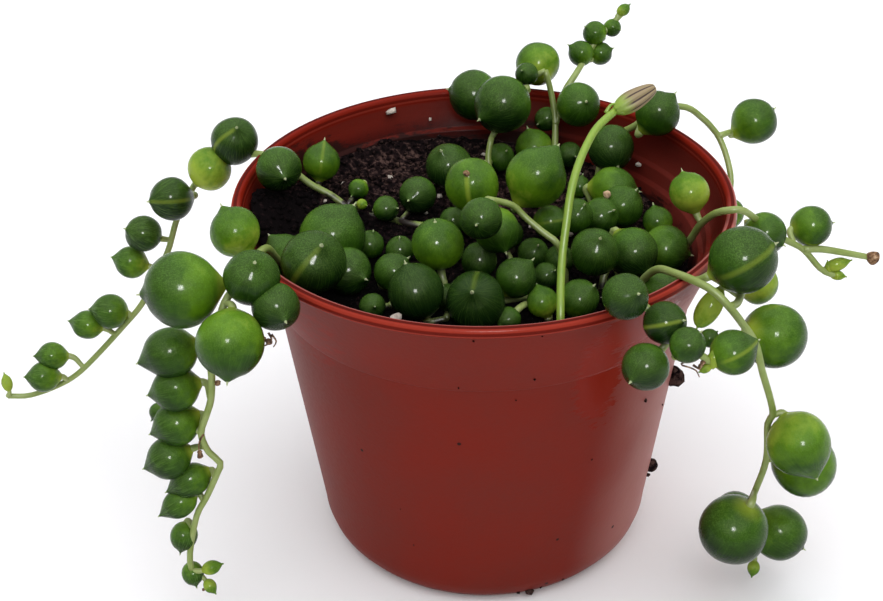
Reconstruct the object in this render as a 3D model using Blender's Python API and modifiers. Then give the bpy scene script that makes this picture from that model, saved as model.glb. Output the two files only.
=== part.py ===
"""Potted string of pearls: a plastic nursery pot of peat with trailing stems of round leaves.

+Z is up and the origin is the middle of the pot's flat underside. Sizes and places are given in
millimetres, and MM turns them into Blender's metres.
"""

import math

import bmesh
import bpy
from mathutils import Matrix, Vector, noise
from mathutils.geometry import interpolate_bezier

MM = 0.001
GAP = 0.3
# Points nearer than WELD are made one, and edges sharper than SHARP_ANGLE stay sharp.
WELD = 0.01
SHARP_ANGLE = 40

# The pot: a 70 mm round nursery pot with a rolled lip, a tapered collar and a round foot.
RIM_RADIUS = 35.0
POT_HEIGHT = 55.0
LIP_HEIGHT = 1.3
LIP_OVERHANG = 0.8
COLLAR_HEIGHT = 13.0
COLLAR_FOOT_RADIUS = 30.0
COLLAR_STEP = 0.3
BODY_FOOT_RADIUS = 24.9
FOOT_ROUND = 4.6
FLOOR_THICKNESS = 1.2
LIP_CORNER = 0.15
LIP_ARC_STEPS = 3
FOOT_ARC_STEPS = 4
POT_SIDES = 44
# The inside from the lip down to the floor, as (radius, height).
POT_INSIDE = (
    (33.2, 54.8),
    (31.9, 50.4),
    (31.2, 50.0),
    (31.0, 47.8),
    (30.3, 47.4),
    (29.9, 44.6),
    (28.7, 41.6),
    (24.2, 6.5),
    (21.5, FLOOR_THICKNESS),
)
DRAIN_HOLES = 6
DRAIN_RING_RADIUS = 13.5
DRAIN_HOLE_RADIUS = 2.2
DRAIN_HOLE_SIDES = 12

# The soil: higher at the left and the back, with low lumps.
SOIL_MIDDLE = 45.2
SOIL_SLOPE_X = -0.085
SOIL_SLOPE_Y = 0.03
SOIL_LUMP = 0.35
SOIL_LUMP_SPACING = 9.0
SOIL_EDGE_RADIUS = 29.8
SOIL_RINGS = 4
ROOT_DEPTH = 4.0
ROOT_RISE = 0.5
# The first points of a stem lie inside the soil and carry no pearls.
BURIED_POINTS = 3
HOLE_SIDES = 8

# Stems and pearls.
STEM_RADIUS = 0.5
STEM_STEP = 3.5
STEM_TIP_SHARE = 0.75
STALK_RADIUS = 0.42
SOIL_CLEARANCE = 0.7
LARGE_PEARL = 5.0
LARGE_SIDES = 7
SMALL_SIDES = 6
TINY_PEARL = 2.6
TINY_SIDES = 5
# A pearl's outline from its neck to its point, as (distance along its axis, radius), both in
# pearl radii from its middle. The neck is left out where the stem is nearer than LONG_STALK, and
# the stalk starts no nearer than NEAREST_FOOT.
PEARL_NECK = (-1.2, 0.2)
LONG_STALK = 1.5
NEAREST_FOOT = 1.2
PEARL_OUTLINE = ((-0.8, 0.62), (-0.3, 0.96), (0.3, 0.97), (0.82, 0.58), (1.18, 0.0))
SMALL_OUTLINE = ((-0.75, 0.66), (0.0, 1.0), (0.72, 0.68), (1.18, 0.0))

# Each leafy stem: the place of its root, the routes of its stem and of its side shoots above the
# soil, and its pearls as (x, y, z, width), or (x, y, z, width, stretch along its axis).
STRANDS = {
    "strand_left_far": {
        "root": (-7.5, 4.5),
        "routes": [
            [(-10.5, 5, 47.6), (-14.5, 7.5, 47.9), (-18, 10, 48.4), (-21.5, 12, 49.5),
             (-25.3, 10.5, 53), (-28.5, 11, 56), (-31.5, 13, 57.2), (-34, 16.5, 57), (-37, 18, 55),
             (-40.3, 17.7, 51.5), (-43.5, 17, 47.7), (-46.5, 15, 43), (-48.5, 13.5, 37.5), (-51, 13, 33),
             (-53.5, 12.5, 28.5), (-57, 12, 24.5), (-61.5, 12, 19.5), (-65.5, 12, 15.5),
             (-69, 11.5, 13.5), (-73.5, 11, 12), (-77.5, 10.5, 12)],
        ],
        "pearls": [
            (-4.2, 3.3, 48, 4), (-9.5, 8.5, 49.3, 5.5), (-14, 5.5, 48.8, 3.8),
            (-18.4, 11.3, 48.8, 3), (-17.6, 7.4, 48.9, 1.6), (-24, 15, 52, 5.5),
            (-29, 5, 56, 6.5), (-36.5, 14, 56, 7), (-40.5, 13, 52, 6.5), (-46.5, 12, 47.5, 6.5),
            (-51.5, 12, 41.5, 5.5), (-54, 12, 36.5, 5),
            (-58.5, 12, 27.5, 5.5), (-62.5, 12, 25, 4.5), (-69, 12, 19, 4.5),
            (-70.5, 10.5, 16, 5), (-77, 11, 14.5, 1.6),
        ],
    },
    "strand_left_near": {
        "root": (-25, -10),
        "routes": [
            [(-26, -11.5, 49.5), (-27.3, -14.3, 52.7), (-28, -17.5, 56.3), (-29.2, -21.3, 56.8),
             (-30.7, -25, 55.7), (-32, -28.5, 55), (-33.5, -28.7, 50.5), (-34.8, -27.8, 45.5),
             (-35, -27.5, 43), (-35.5, -27, 39), (-37, -26.5, 36), (-37.2, -26.5, 33),
             (-36.6, -26.5, 30), (-35.4, -27, 28.5), (-36, -27, 26.7), (-37.8, -27, 22.7),
             (-39.5, -27.5, 19.5), (-41, -28, 13.3), (-41, -28.5, 10.5)],
        ],
        "pearls": [
            (-28.3, -9.5, 52, 4), (-32, -17, 58.5, 6.5), (-28.5, -27.5, 58, 7),
            (-37.5, -27, 56, 9.5), (-31, -33, 52, 8.5), (-25.5, -29.5, 55, 6),
            (-41, -24, 44.3, 6.4), (-40.5, -25, 39, 5.8), (-41, -25, 33.5, 5.8),
            (-44, -22, 33.3, 2.6), (-42.5, -26, 28.5, 5.6), (-40.5, -26, 24.5, 5),
            (-42, -27, 21.5, 4.5), (-42, -27, 15.5, 3.8), (-41, -28, 9.5, 3.1),
            (-38.2, -28.5, 11, 2), (-38.6, -29, 8, 1.7),
        ],
    },
    "strand_right_near": {
        "root": (20.5, -12.5),
        "routes": [
            [(21, -13.5, 46.5), (22.2, -16, 50.9), (23.4, -19.5, 54.2), (24.9, -23.3, 56.4),
             (27.1, -26, 56.8), (29.2, -27.5, 55.9), (31.1, -28, 53.4), (32.5, -27.5, 50.7),
             (34.3, -27, 47.5), (35.8, -26, 42.5), (37.6, -25, 37), (38.2, -24.5, 34.3),
             (37.8, -24, 32.5), (38.3, -23.5, 26), (37.2, -24, 21), (36.6, -23.5, 17.5),
             (37.6, -21.5, 12.5), (38.7, -21, 6.5)],
            [(31.1, -28, 53.4), (32, -24.8, 52.3), (33.5, -20, 51.5), (35.3, -15.5, 49.5)],
        ],
        "pearls": [
            (32.5, -23, 57.5, 8.5), (28.7, -23.5, 50.6, 3.4, 1.7), (37, -12, 47, 5.5),
            (38, -21, 44.6, 8.5), (41.5, -27, 31.5, 8.5), (44.5, -19.5, 22, 9),
            (34, -27.5, 17, 9.5), (42.5, -19, 9, 8), (36.5, -16.5, 10, 7), (39, -21, 4, 1.8),
        ],
    },
    "strand_right_far": {
        "root": (24.5, -8.5),
        "routes": [
            [(25, -8.3, 46), (26.7, -7.5, 49.8), (28.9, -7.6, 53.6), (31, -8.5, 56.2),
             (33, -9, 56.8), (34.8, -8.5, 56.3), (38.3, -6.5, 53.5), (42, -4, 49.3),
             (44.8, -2.5, 46.7), (47.6, -2, 43.3), (49.2, -2, 42.3), (50.8, -2, 42)],
            [(44.8, -2.5, 46.7), (47.5, -2, 46.4), (50.9, -1.5, 45.5), (54.3, -1, 44.5)],
        ],
        "pearls": [
            (28.2, -3, 56.2, 5.5), (38.8, -4, 50, 6), (46.1, 0, 49, 5.8), (50.5, -2, 44, 2, 1.6),
            (50, -0.8, 42, 1.6), (55.1, -1, 44.4, 1.9),
        ],
    },
    "strand_back_right": {
        "root": (17.5, 18.5),
        "routes": [
            [(17.8, 20.5, 47), (19, 22.8, 50.3), (21.2, 22.2, 52.8), (23.1, 21, 54.6),
             (26.5, 21.2, 57.2), (30.5, 21.5, 57.3), (33.4, 23, 54.7), (35.2, 24, 52.5),
             (36.4, 24, 50.8), (37.4, 22, 48.6), (38, 19.8, 45.5), (37.4, 18.5, 41.5),
             (36.3, 18, 37.5), (35, 18, 33)],
            [(36.2, 24, 51.2), (38.3, 26, 50.9)],
        ],
        "pearls": [
            (19.4, 19, 51.8, 7), (25.8, 17, 58.5, 6.6), (42.2, 28, 51.7, 7), (34, 22, 43.5, 5.2),
            (38.5, 22.5, 38.5, 5), (31.5, 20, 36.5, 4.6), (35.5, 20.5, 30, 3.6),
        ],
    },
    "strand_top": {
        "root": (11.2, 22),
        "routes": [
            [(11.2, 22.8, 47.5), (11.2, 24.2, 49.7), (11.3, 26.3, 52.2), (11, 27.5, 55),
             (10.4, 28.3, 57.8), (9.7, 28.6, 60.3)],
            [(11.3, 26.3, 52.2), (12.6, 29.2, 56), (14.3, 30.8, 58.3), (15.2, 32.8, 58.8),
             (16.6, 35, 60.2), (18.3, 36.5, 62.2), (22, 38.8, 65.3)],
        ],
        "pearls": [
            (8, 25, 49, 5.8), (13.5, 24, 48.2, 4), (10, 28, 52.4, 3.8), (14.7, 25.5, 56, 6.7),
            (8.7, 33, 59.5, 6.8), (6.8, 27, 60.5, 3.5), (15.5, 35, 60.3, 4), (18.7, 36.5, 59.6, 3.6),
            (17.7, 37, 62.8, 3.8), (20.5, 38, 63.3, 2.8), (22.2, 39, 65.8, 1.8, 1.3),
        ],
    },
    "strand_back": {
        "root": (1, 17.5),
        "routes": [[(1, 18.2, 48), (0.9, 19.5, 50.8), (1.4, 20.5, 53)]],
        "pearls": [
            (-5, 16, 50.5, 7), (2.8, 22.5, 48.6, 4.4), (3, 21.8, 57.9, 8.6), (-1.3, 28.7, 56.3, 7.7),
        ],
    },
    "strand_middle": {
        "root": (11.3, -8),
        "routes": [
            [(11.1, -8, 48), (10.2, -8, 51), (8.1, -7, 52.4), (5.8, -6, 54.1), (4, -5.6, 55.8),
             (0.6, -6.5, 57.3)],
        ],
        "pearls": [
            (-1.5, -1, 56.5, 7.5), (7.4, -0.6, 57.4, 8.4), (-0.2, -14, 58.5, 5.5), (1.9, -9, 53.8, 6.2),
        ],
    },
    "strand_right_over": {
        "root": (17.8, -18.5),
        "routes": [
            [(17.9, -20.3, 47.5), (17.9, -24, 52.5), (18, -27.3, 55.9), (18.3, -30, 56.7),
             (19, -32.8, 55.4), (20, -34.5, 52.8), (22.2, -35, 51.3), (25, -34.7, 50),
             (28.1, -33.3, 48.8)],
        ],
        "pearls": [
            (17.1, -32, 57.8, 5.7), (22.1, -31.5, 53.7, 5.4), (24.3, -36, 53.5, 4.4),
            (19.5, -35.5, 50, 5.8), (30.4, -33, 50.3, 5.6), (28.2, -28.5, 49.4, 2.4),
            (28.4, -33, 47.6, 1.5),
        ],
    },
    "strand_crown_left": {
        "root": (-16.5, -8.5),
        "routes": [[(-17.4, -9.2, 47.4), (-19, -10.7, 48.2), (-20, -12.2, 49.6)]],
        "pearls": [
            (-20.5, -7, 52.7, 9), (-22, -17.8, 54.3, 8.6), (-18.1, -13.5, 49.6, 6.4),
            (-15.7, -4.5, 49, 4),
        ],
    },
    "strand_crown_front_left": {
        "root": (-10, -9),
        "routes": [[(-10.2, -11, 47), (-11, -14, 46.9), (-12.5, -16.8, 46.8)]],
        "pearls": [(-12, -12.5, 49.5, 5.3), (-11.5, -5.5, 48.5, 4), (-14.5, -19.5, 48.5, 3.5)],
    },
    "strand_crown_front": {
        "root": (-4.5, -12),
        "routes": [[(-4.4, -13.3, 47), (-4.5, -16, 46.3), (-4.9, -19, 46.2)]],
        "pearls": [
            (-6, -12, 53.5, 7), (-0.5, -8, 48.5, 5), (-1, -19.5, 49.2, 7.8), (-8.8, -19, 50.5, 7.4),
        ],
    },
    "strand_crown_front_right": {
        "root": (5.5, -8.5),
        "routes": [
            [(5.8, -10.5, 45.9), (6.8, -12.8, 45.6), (9, -13.6, 45.4), (11, -12.8, 45.2)],
            [(5.6, -9.3, 46), (4.3, -5.5, 45.9), (3.6, -2.3, 46)],
        ],
        "pearls": [
            (7, -5, 47.8, 4.4), (3.8, 0.8, 47.6, 4), (4.4, -15, 50, 5.4), (8.5, -11.5, 48.2, 3.5),
            (7.8, -16.7, 47.3, 4.2), (12.8, -15.6, 47, 5.4),
        ],
    },
    "strand_crown_right": {
        "root": (16.5, -7.5),
        "routes": [[(17.2, -6.3, 46), (19.3, -2.8, 45), (22, 0.5, 44.8), (23.8, 4.8, 44.7)]],
        "pearls": [
            (15, -11, 51.5, 6.6), (20.5, -7, 49, 7), (25.5, -3, 47.2, 6.6), (25.4, 6.5, 46.2, 4.4),
        ],
    },
    "strand_crown_back_right": {
        "root": (11.5, 3.5),
        "routes": [
            [(12.3, 5.5, 46.3), (14.3, 9, 46), (15.8, 11.5, 45.8), (16.3, 14, 45.7), (17, 17, 45.6)],
        ],
        "pearls": [
            (9.5, -0.5, 50.2, 4.8), (13.2, 0.2, 50.8, 4.8), (16.9, 4, 48.6, 5.3), (20.3, 8, 48, 6.2),
            (19.4, 13, 48, 6.8), (14.5, 15.2, 47.3, 3.5),
        ],
    },
}

# The flower stalk and the closed flower head at its end.
FLOWER_ROOT = (10, -22)
FLOWER_ROUTE = [
    (10, -21.5, 48), (10.1, -18.5, 51), (10.4, -15.5, 54), (11, -13, 57.6), (11.5, -11, 60.3),
    (12.4, -8.5, 62.7), (13.7, -5.4, 64.4), (15.4, -2.2, 65.7), (17.4, 0.2, 66.5),
]
FLOWER_STALK_RADIUS = 0.62
FLOWER_TIP_SHARE = 0.95
BUD_FOOT = (17.9, 0.5, 66.8)
BUD_POINT = (23.4, 3, 69.1)
BUD_SIDES = 10
# The flower head's outline, as (share of its length, radius).
BUD_OUTLINE = ((0.0, 0.75), (0.12, 1.15), (0.35, 1.4), (0.65, 1.25), (0.88, 0.95), (1.0, 0.6))

# Colours (linear) and roughness of the materials.
TERRACOTTA_PLASTIC = ((0.2, 0.035, 0.025), 0.45)
PEAT = ((0.012, 0.008, 0.006), 0.95)
PEARL_GREEN = ((0.045, 0.14, 0.02), 0.35)
STALK_GREEN = ((0.3, 0.45, 0.06), 0.45)
BUD_TAN = ((0.4, 0.3, 0.17), 0.6)


def clear_scene():
    """Removes every object and the meshes, curves and materials that they leave."""
    for item in list(bpy.data.objects):
        bpy.data.objects.remove(item, do_unlink=True)
    for blocks in (bpy.data.meshes, bpy.data.curves, bpy.data.materials):
        for block in list(blocks):
            blocks.remove(block)


def new_collection(name):
    collection = bpy.data.collections.new(name)
    bpy.context.scene.collection.children.link(collection)
    return collection


def new_material(name, finish):
    """A Principled material of one colour and roughness."""
    colour, roughness = finish
    material = bpy.data.materials.new(name)
    material.use_nodes = True
    shader = material.node_tree.nodes["Principled BSDF"]
    shader.inputs["Base Color"].default_value = (*colour, 1.0)
    shader.inputs["Roughness"].default_value = roughness
    shader.inputs["Metallic"].default_value = 0.0
    material.diffuse_color = (*colour, 1.0)
    return material


def new_object(name, mesh, collection):
    item = bpy.data.objects.new(name, mesh)
    collection.objects.link(item)
    return item


def mesh_from_bmesh(name, shape):
    """Closes the bmesh into a new mesh with its faces pointing out."""
    bmesh.ops.recalc_face_normals(shape, faces=shape.faces)
    mesh = bpy.data.meshes.new(name)
    shape.to_mesh(mesh)
    shape.free()
    return mesh


def evaluated_mesh(item, name):
    """The object's mesh as its modifiers, or its curve settings, leave it."""
    graph = bpy.context.evaluated_depsgraph_get()
    mesh = bpy.data.meshes.new_from_object(item.evaluated_get(graph))
    mesh.name = name
    return mesh


def soften(item):
    """Shades a round piece smooth, with its edges kept sharp."""
    item.data.shade_smooth()
    item.data.set_sharp_from_angle(angle=math.radians(SHARP_ANGLE))


def turned(name, outline, sides, collection):
    """A turned piece from an outline of (radius, height) that runs down its outer side."""
    mesh = bpy.data.meshes.new(name)
    points = [(radius * MM, 0.0, height * MM) for radius, height in outline]
    edges = [(i, i + 1) for i in range(len(points) - 1)]
    mesh.from_pydata(points, edges, [])
    item = new_object(name, mesh, collection)
    screw = item.modifiers.new("Turn", "SCREW")
    screw.steps = screw.render_steps = sides
    screw.use_merge_vertices = True
    screw.merge_threshold = WELD * MM
    return item


def arc(middle, radius, start, end, count):
    """Points on an arc in the (radius, height) plane, with angles in degrees from outwards."""
    points = []
    for i in range(count + 1):
        angle = math.radians(start + (end - start) * i / count)
        points.append((middle[0] + radius * math.cos(angle), middle[1] + radius * math.sin(angle)))
    return points


def pot_outline():
    """The pot's section: up the inside from the floor, over the lip and down the outside."""
    lip_round = LIP_HEIGHT / 2
    inside = [(0.0, FLOOR_THICKNESS)] + list(reversed(POT_INSIDE))
    lip_inner = [(POT_INSIDE[0][0] + LIP_CORNER, POT_HEIGHT)]
    lip_middle = (RIM_RADIUS - lip_round, POT_HEIGHT - lip_round)
    lip_outer = arc(lip_middle, lip_round, 90, -90, LIP_ARC_STEPS)
    collar = [
        (RIM_RADIUS - LIP_OVERHANG, POT_HEIGHT - LIP_HEIGHT),
        (COLLAR_FOOT_RADIUS, POT_HEIGHT - COLLAR_HEIGHT),
        (COLLAR_FOOT_RADIUS - COLLAR_STEP, POT_HEIGHT - COLLAR_HEIGHT - COLLAR_STEP),
    ]
    foot_middle = (BODY_FOOT_RADIUS - FOOT_ROUND, FOOT_ROUND)
    foot = arc(foot_middle, FOOT_ROUND, 0, -90, FOOT_ARC_STEPS)
    return inside + lip_inner + lip_outer + collar + foot + [(0.0, 0.0)]


def make_pot(collection, cutters):
    pot = turned("pot", pot_outline(), POT_SIDES, collection)
    for i in range(DRAIN_HOLES):
        angle = 2 * math.pi * (i + 0.5) / DRAIN_HOLES
        bpy.ops.mesh.primitive_cylinder_add(
            vertices=DRAIN_HOLE_SIDES,
            radius=DRAIN_HOLE_RADIUS * MM,
            depth=4 * FLOOR_THICKNESS * MM,
            location=(
                DRAIN_RING_RADIUS * MM * math.cos(angle),
                DRAIN_RING_RADIUS * MM * math.sin(angle),
                0.0,
            ),
        )
        hide_cutter(bpy.context.object, f"drain_cutter_{i + 1}", cutters)
    cut = pot.modifiers.new("Drain holes", "BOOLEAN")
    cut.operand_type = "COLLECTION"
    cut.collection = cutters
    pot.data.materials.append(new_material("terracotta plastic", TERRACOTTA_PLASTIC))
    return pot


def hide_cutter(item, name, collection):
    """Names a cutter, moves it to its collection and keeps it out of the render."""
    item.name = name
    for owner in list(item.users_collection):
        owner.objects.unlink(item)
    collection.objects.link(item)
    item.hide_render = True
    item.display_type = "WIRE"


def soil_height(x, y):
    """Height of the soil's surface at a place, without its lumps."""
    return SOIL_MIDDLE + SOIL_SLOPE_X * x + SOIL_SLOPE_Y * y


def soil_lump(x, y):
    return SOIL_LUMP * noise.noise(Vector((x, y, 0.0)) / SOIL_LUMP_SPACING)


def inside_radius(height):
    """Radius of the pot's inner wall at a height."""
    for (upper_radius, upper), (lower_radius, lower) in zip(POT_INSIDE, POT_INSIDE[1:]):
        if lower <= height <= upper:
            share = (height - lower) / (upper - lower)
            return lower_radius + share * (upper_radius - lower_radius)
    return POT_INSIDE[-1][0]


def soil_outline():
    """The soil's section: across the top from the middle, then down the wall to the floor."""
    top = [(SOIL_EDGE_RADIUS * i / SOIL_RINGS, SOIL_MIDDLE) for i in range(SOIL_RINGS + 1)]
    side = [(radius - GAP, height) for radius, height in POT_INSIDE[-3:-1]]
    bottom = [(POT_INSIDE[-1][0] - GAP, FLOOR_THICKNESS + GAP), (0.0, FLOOR_THICKNESS + GAP)]
    return top + side + bottom


def make_soil(collection, cutters):
    """The plug of soil, with its top shaped and a plain hole for each stem."""
    plug = turned("soil_blank", soil_outline(), POT_SIDES, collection)
    mesh = evaluated_mesh(plug, "soil")
    bpy.data.objects.remove(plug, do_unlink=True)
    for vertex in mesh.vertices:
        x, y, z = vertex.co / MM
        if z < SOIL_MIDDLE - WELD:
            continue
        z = soil_height(x, y) + soil_lump(x, y)
        out = math.hypot(x, y)
        if out > SOIL_EDGE_RADIUS - WELD:
            shrink = min(SOIL_EDGE_RADIUS, inside_radius(z) - GAP) / out
            x, y = x * shrink, y * shrink
        vertex.co = Vector((x, y, z)) * MM
    soil = new_object("soil", mesh, collection)
    roots = [(strand["root"], STEM_RADIUS) for strand in STRANDS.values()]
    roots.append((FLOWER_ROOT, FLOWER_STALK_RADIUS))
    for i, ((x, y), radius) in enumerate(roots):
        top = soil_height(x, y)
        depth = ROOT_DEPTH + GAP
        bpy.ops.mesh.primitive_cylinder_add(
            vertices=HOLE_SIDES,
            radius=(radius + GAP) / math.cos(math.pi / HOLE_SIDES) * MM,
            depth=2 * depth * MM,
            location=Vector((x, y, top)) * MM,
        )
        hide_cutter(bpy.context.object, f"root_cutter_{i + 1}", cutters)
    cut = soil.modifiers.new("Root holes", "BOOLEAN")
    cut.operand_type = "COLLECTION"
    cut.collection = cutters
    soil.data.materials.append(new_material("peat", PEAT))
    return soil


def smooth_route(points, step):
    """Points about a step apart on a smooth curve through the given ones."""
    points = [Vector(point) for point in points]
    ends = [points[0] * 2 - points[1], *points, points[-1] * 2 - points[-2]]
    route = [points[0]]
    for before, start, end, after in zip(ends, ends[1:], ends[2:], ends[3:]):
        pieces = max(1, round((end - start).length / step))
        first_handle = start + (end - before) / 6
        second_handle = end - (after - start) / 6
        route += interpolate_bezier(start, first_handle, second_handle, end, pieces + 1)[1:]
    return route


def rooted_routes(root, routes):
    """The routes of a strand, the first one led straight down into its hole in the soil."""
    x, y = root
    top = soil_height(x, y)
    heights = (top - ROOT_DEPTH, top - ROOT_DEPTH / 2, top + ROOT_RISE)
    return [[(x, y, z) for z in heights] + list(routes[0]), *routes[1:]]


def stem_mesh(name, route, radius, tip_share, collection):
    """A closed tube along a route, tapering to its tip."""
    curve = bpy.data.curves.new(name, "CURVE")
    curve.dimensions = "3D"
    curve.bevel_depth = radius * MM
    curve.bevel_resolution = 1
    curve.use_fill_caps = True
    spline = curve.splines.new("POLY")
    spline.points.add(len(route) - 1)
    for i, (point, place) in enumerate(zip(spline.points, route)):
        point.co = (*(place * MM), 1.0)
        point.radius = 1 - (1 - tip_share) * i / (len(route) - 1)
    tube = new_object(name, curve, collection)
    mesh = evaluated_mesh(tube, name)
    bpy.data.objects.remove(tube, do_unlink=True)
    shape = bmesh.new()
    shape.from_mesh(mesh)
    bmesh.ops.remove_doubles(shape, verts=shape.verts, dist=WELD * MM)
    bpy.data.meshes.remove(mesh)
    return mesh_from_bmesh(name, shape)


def spun(name, outline, sides, foot, direction):
    """A closed turned piece from (distance, radius) points, laid from its foot along a direction."""
    shape = bmesh.new()
    ring = [shape.verts.new((radius, 0.0, along)) for along, radius in outline]
    edges = [shape.edges.new(pair) for pair in zip(ring, ring[1:])]
    bmesh.ops.spin(
        shape,
        geom=ring + edges,
        cent=(0, 0, 0),
        axis=(0, 0, 1),
        angle=2 * math.pi,
        steps=sides,
        use_merge=True,
    )
    bmesh.ops.remove_doubles(shape, verts=shape.verts, dist=WELD)
    bmesh.ops.holes_fill(shape, edges=shape.edges, sides=sides)
    turn = direction.to_track_quat("Z", "Y").to_matrix().to_4x4()
    place = Matrix.Scale(MM, 4) @ Matrix.Translation(foot) @ turn
    bmesh.ops.transform(shape, matrix=place, verts=shape.verts)
    return mesh_from_bmesh(name, shape)


def pearl_form(width):
    """The number of sides of a pearl this wide, and its outline."""
    if width <= TINY_PEARL:
        return TINY_SIDES, SMALL_OUTLINE
    if width < LARGE_PEARL:
        return SMALL_SIDES, SMALL_OUTLINE
    return LARGE_SIDES, PEARL_OUTLINE


def pearl_mesh(name, centre, width, stretch, foot):
    """A round leaf on its short stalk, from the stem at its foot, ending in a small point."""
    sides, shape = pearl_form(width)
    # The sides stand out as far as gives them the area of the round section.
    radius = width / 2 * math.sqrt(2 * math.pi / (sides * math.sin(2 * math.pi / sides)))
    half = stretch * width / 2
    axis = centre - foot
    reach = max(axis.length, NEAREST_FOOT * half)
    if reach > LONG_STALK * half:
        shape = (PEARL_NECK, *shape)
    outline = [(0.0, min(STALK_RADIUS, radius / 2))]
    outline += [(reach + along * half, out * radius) for along, out in shape]
    start = centre - axis.normalized() * reach
    return spun(name, outline, sides, start, axis)


def rest_on_soil(x, y, z, width):
    """The middle of a pearl, raised where it would sink into the soil."""
    if math.hypot(x, y) > SOIL_EDGE_RADIUS:
        return Vector((x, y, z))
    return Vector((x, y, max(z, soil_height(x, y) + width / 2 + SOIL_CLEARANCE)))


def fuse(name, meshes, collection):
    """Joins overlapping meshes into one closed object with a Boolean union."""
    base = new_object(name, meshes[0], collection)
    others = new_collection(name + "_pieces")
    for i, mesh in enumerate(meshes[1:]):
        new_object(f"{name}_piece_{i}", mesh, others)
    union = base.modifiers.new("Join", "BOOLEAN")
    union.operation = "UNION"
    union.operand_type = "COLLECTION"
    union.collection = others
    union.solver = "MANIFOLD"
    joined = evaluated_mesh(base, name)
    for item in [base, *others.objects]:
        bpy.data.objects.remove(item, do_unlink=True)
    bpy.data.collections.remove(others)
    return new_object(name, joined, collection)


def make_strand(name, strand, collection):
    """A leafy stem: its stem and side shoots, with a pearl on each stalk."""
    rooted = rooted_routes(strand["root"], strand["routes"])
    routes = [smooth_route(points, STEM_STEP) for points in rooted]
    meshes = [
        stem_mesh(f"{name}_stem_{i}", route, STEM_RADIUS, STEM_TIP_SHARE, collection)
        for i, route in enumerate(routes)
    ]
    above = [point for route in [routes[0][BURIED_POINTS:], *routes[1:]] for point in route]
    for i, (x, y, z, width, *stretch) in enumerate(strand["pearls"]):
        centre = rest_on_soil(x, y, z, width)
        foot = min(above, key=lambda point: (point - centre).length)
        pearl = pearl_mesh(f"{name}_pearl_{i}", centre, width, stretch[0] if stretch else 1.0, foot)
        meshes.append(pearl)
    item = fuse(name, meshes, collection)
    item.data.materials.append(new_material(f"{name} green", PEARL_GREEN))
    return item


def make_flower(collection):
    """The flower stalk, and the closed flower head that it carries."""
    route = smooth_route(rooted_routes(FLOWER_ROOT, [FLOWER_ROUTE])[0], STEM_STEP)
    stalk = stem_mesh("flower_stalk", route, FLOWER_STALK_RADIUS, FLOWER_TIP_SHARE, collection)
    stalk_object = new_object("flower_stalk", stalk, collection)
    stalk.materials.append(new_material("flower stalk green", STALK_GREEN))
    foot, point = Vector(BUD_FOOT), Vector(BUD_POINT)
    axis = point - foot
    outline = [(share * axis.length, radius) for share, radius in BUD_OUTLINE]
    bud = spun("flower_bud", outline, BUD_SIDES, foot, axis)
    bud.materials.append(new_material("flower head tan", BUD_TAN))
    return [stalk_object, new_object("flower_bud", bud, collection)]


def main():
    clear_scene()
    plant = new_collection("potted_string_of_pearls")
    drain_cutters = new_collection("drain_cutters")
    root_cutters = new_collection("root_cutters")
    pieces = [make_pot(plant, drain_cutters), make_soil(plant, root_cutters)]
    for name, strand in STRANDS.items():
        pieces.append(make_strand(name, strand, plant))
    pieces += make_flower(plant)
    for item in pieces:
        soften(item)


if __name__ == "__main__":
    main()
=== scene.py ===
"""Potted string of pearls: a plastic nursery pot of peat with trailing stems of round leaves.

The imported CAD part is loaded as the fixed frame, and each operator dresses one part of it.
Sizes and places are in millimetres, apart from the lights' ones, and MM turns them into metres.
"""

import math
import random
from collections import namedtuple

import bmesh
import bpy
from bpy.props import FloatProperty, FloatVectorProperty, IntProperty, PointerProperty
from bpy.types import Operator, Panel, PropertyGroup
from mathutils import Matrix, Vector, noise
from mathutils.geometry import interpolate_bezier


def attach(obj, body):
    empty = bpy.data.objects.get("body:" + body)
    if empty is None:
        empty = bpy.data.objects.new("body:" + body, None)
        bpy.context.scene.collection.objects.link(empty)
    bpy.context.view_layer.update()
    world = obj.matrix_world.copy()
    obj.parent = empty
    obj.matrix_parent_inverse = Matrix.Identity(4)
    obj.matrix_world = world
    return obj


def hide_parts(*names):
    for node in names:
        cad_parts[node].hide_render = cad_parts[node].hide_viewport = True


bl_info = {
    "name": "Potted String of Pearls",
    "version": (1, 0, 0),
    "blender": (4, 5, 0),
    "location": "View3D > Sidebar > String of Pearls",
    "description": "Dresses a potted string of pearls with its leaves, stems, peat and plastic pot",
    "category": "Add Mesh",
}

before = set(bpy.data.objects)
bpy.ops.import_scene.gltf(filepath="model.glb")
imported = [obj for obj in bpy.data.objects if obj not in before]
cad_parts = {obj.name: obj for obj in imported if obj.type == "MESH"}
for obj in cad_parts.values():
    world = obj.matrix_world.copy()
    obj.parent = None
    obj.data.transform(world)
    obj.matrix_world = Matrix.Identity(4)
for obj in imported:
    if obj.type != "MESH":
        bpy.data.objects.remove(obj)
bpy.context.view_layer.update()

MM = 0.001

# The camera of the photograph, and the directions right, up and near in its picture.
CAMERA_PLACE = Vector((0.0, -184.1, 154.95))
CAMERA_PITCH = 0.570
CAMERA_YAW = -0.033
CAMERA_ROLL = -0.023
CAMERA_LENS = 61.15
SENSOR_WIDTH = 36.0


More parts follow.
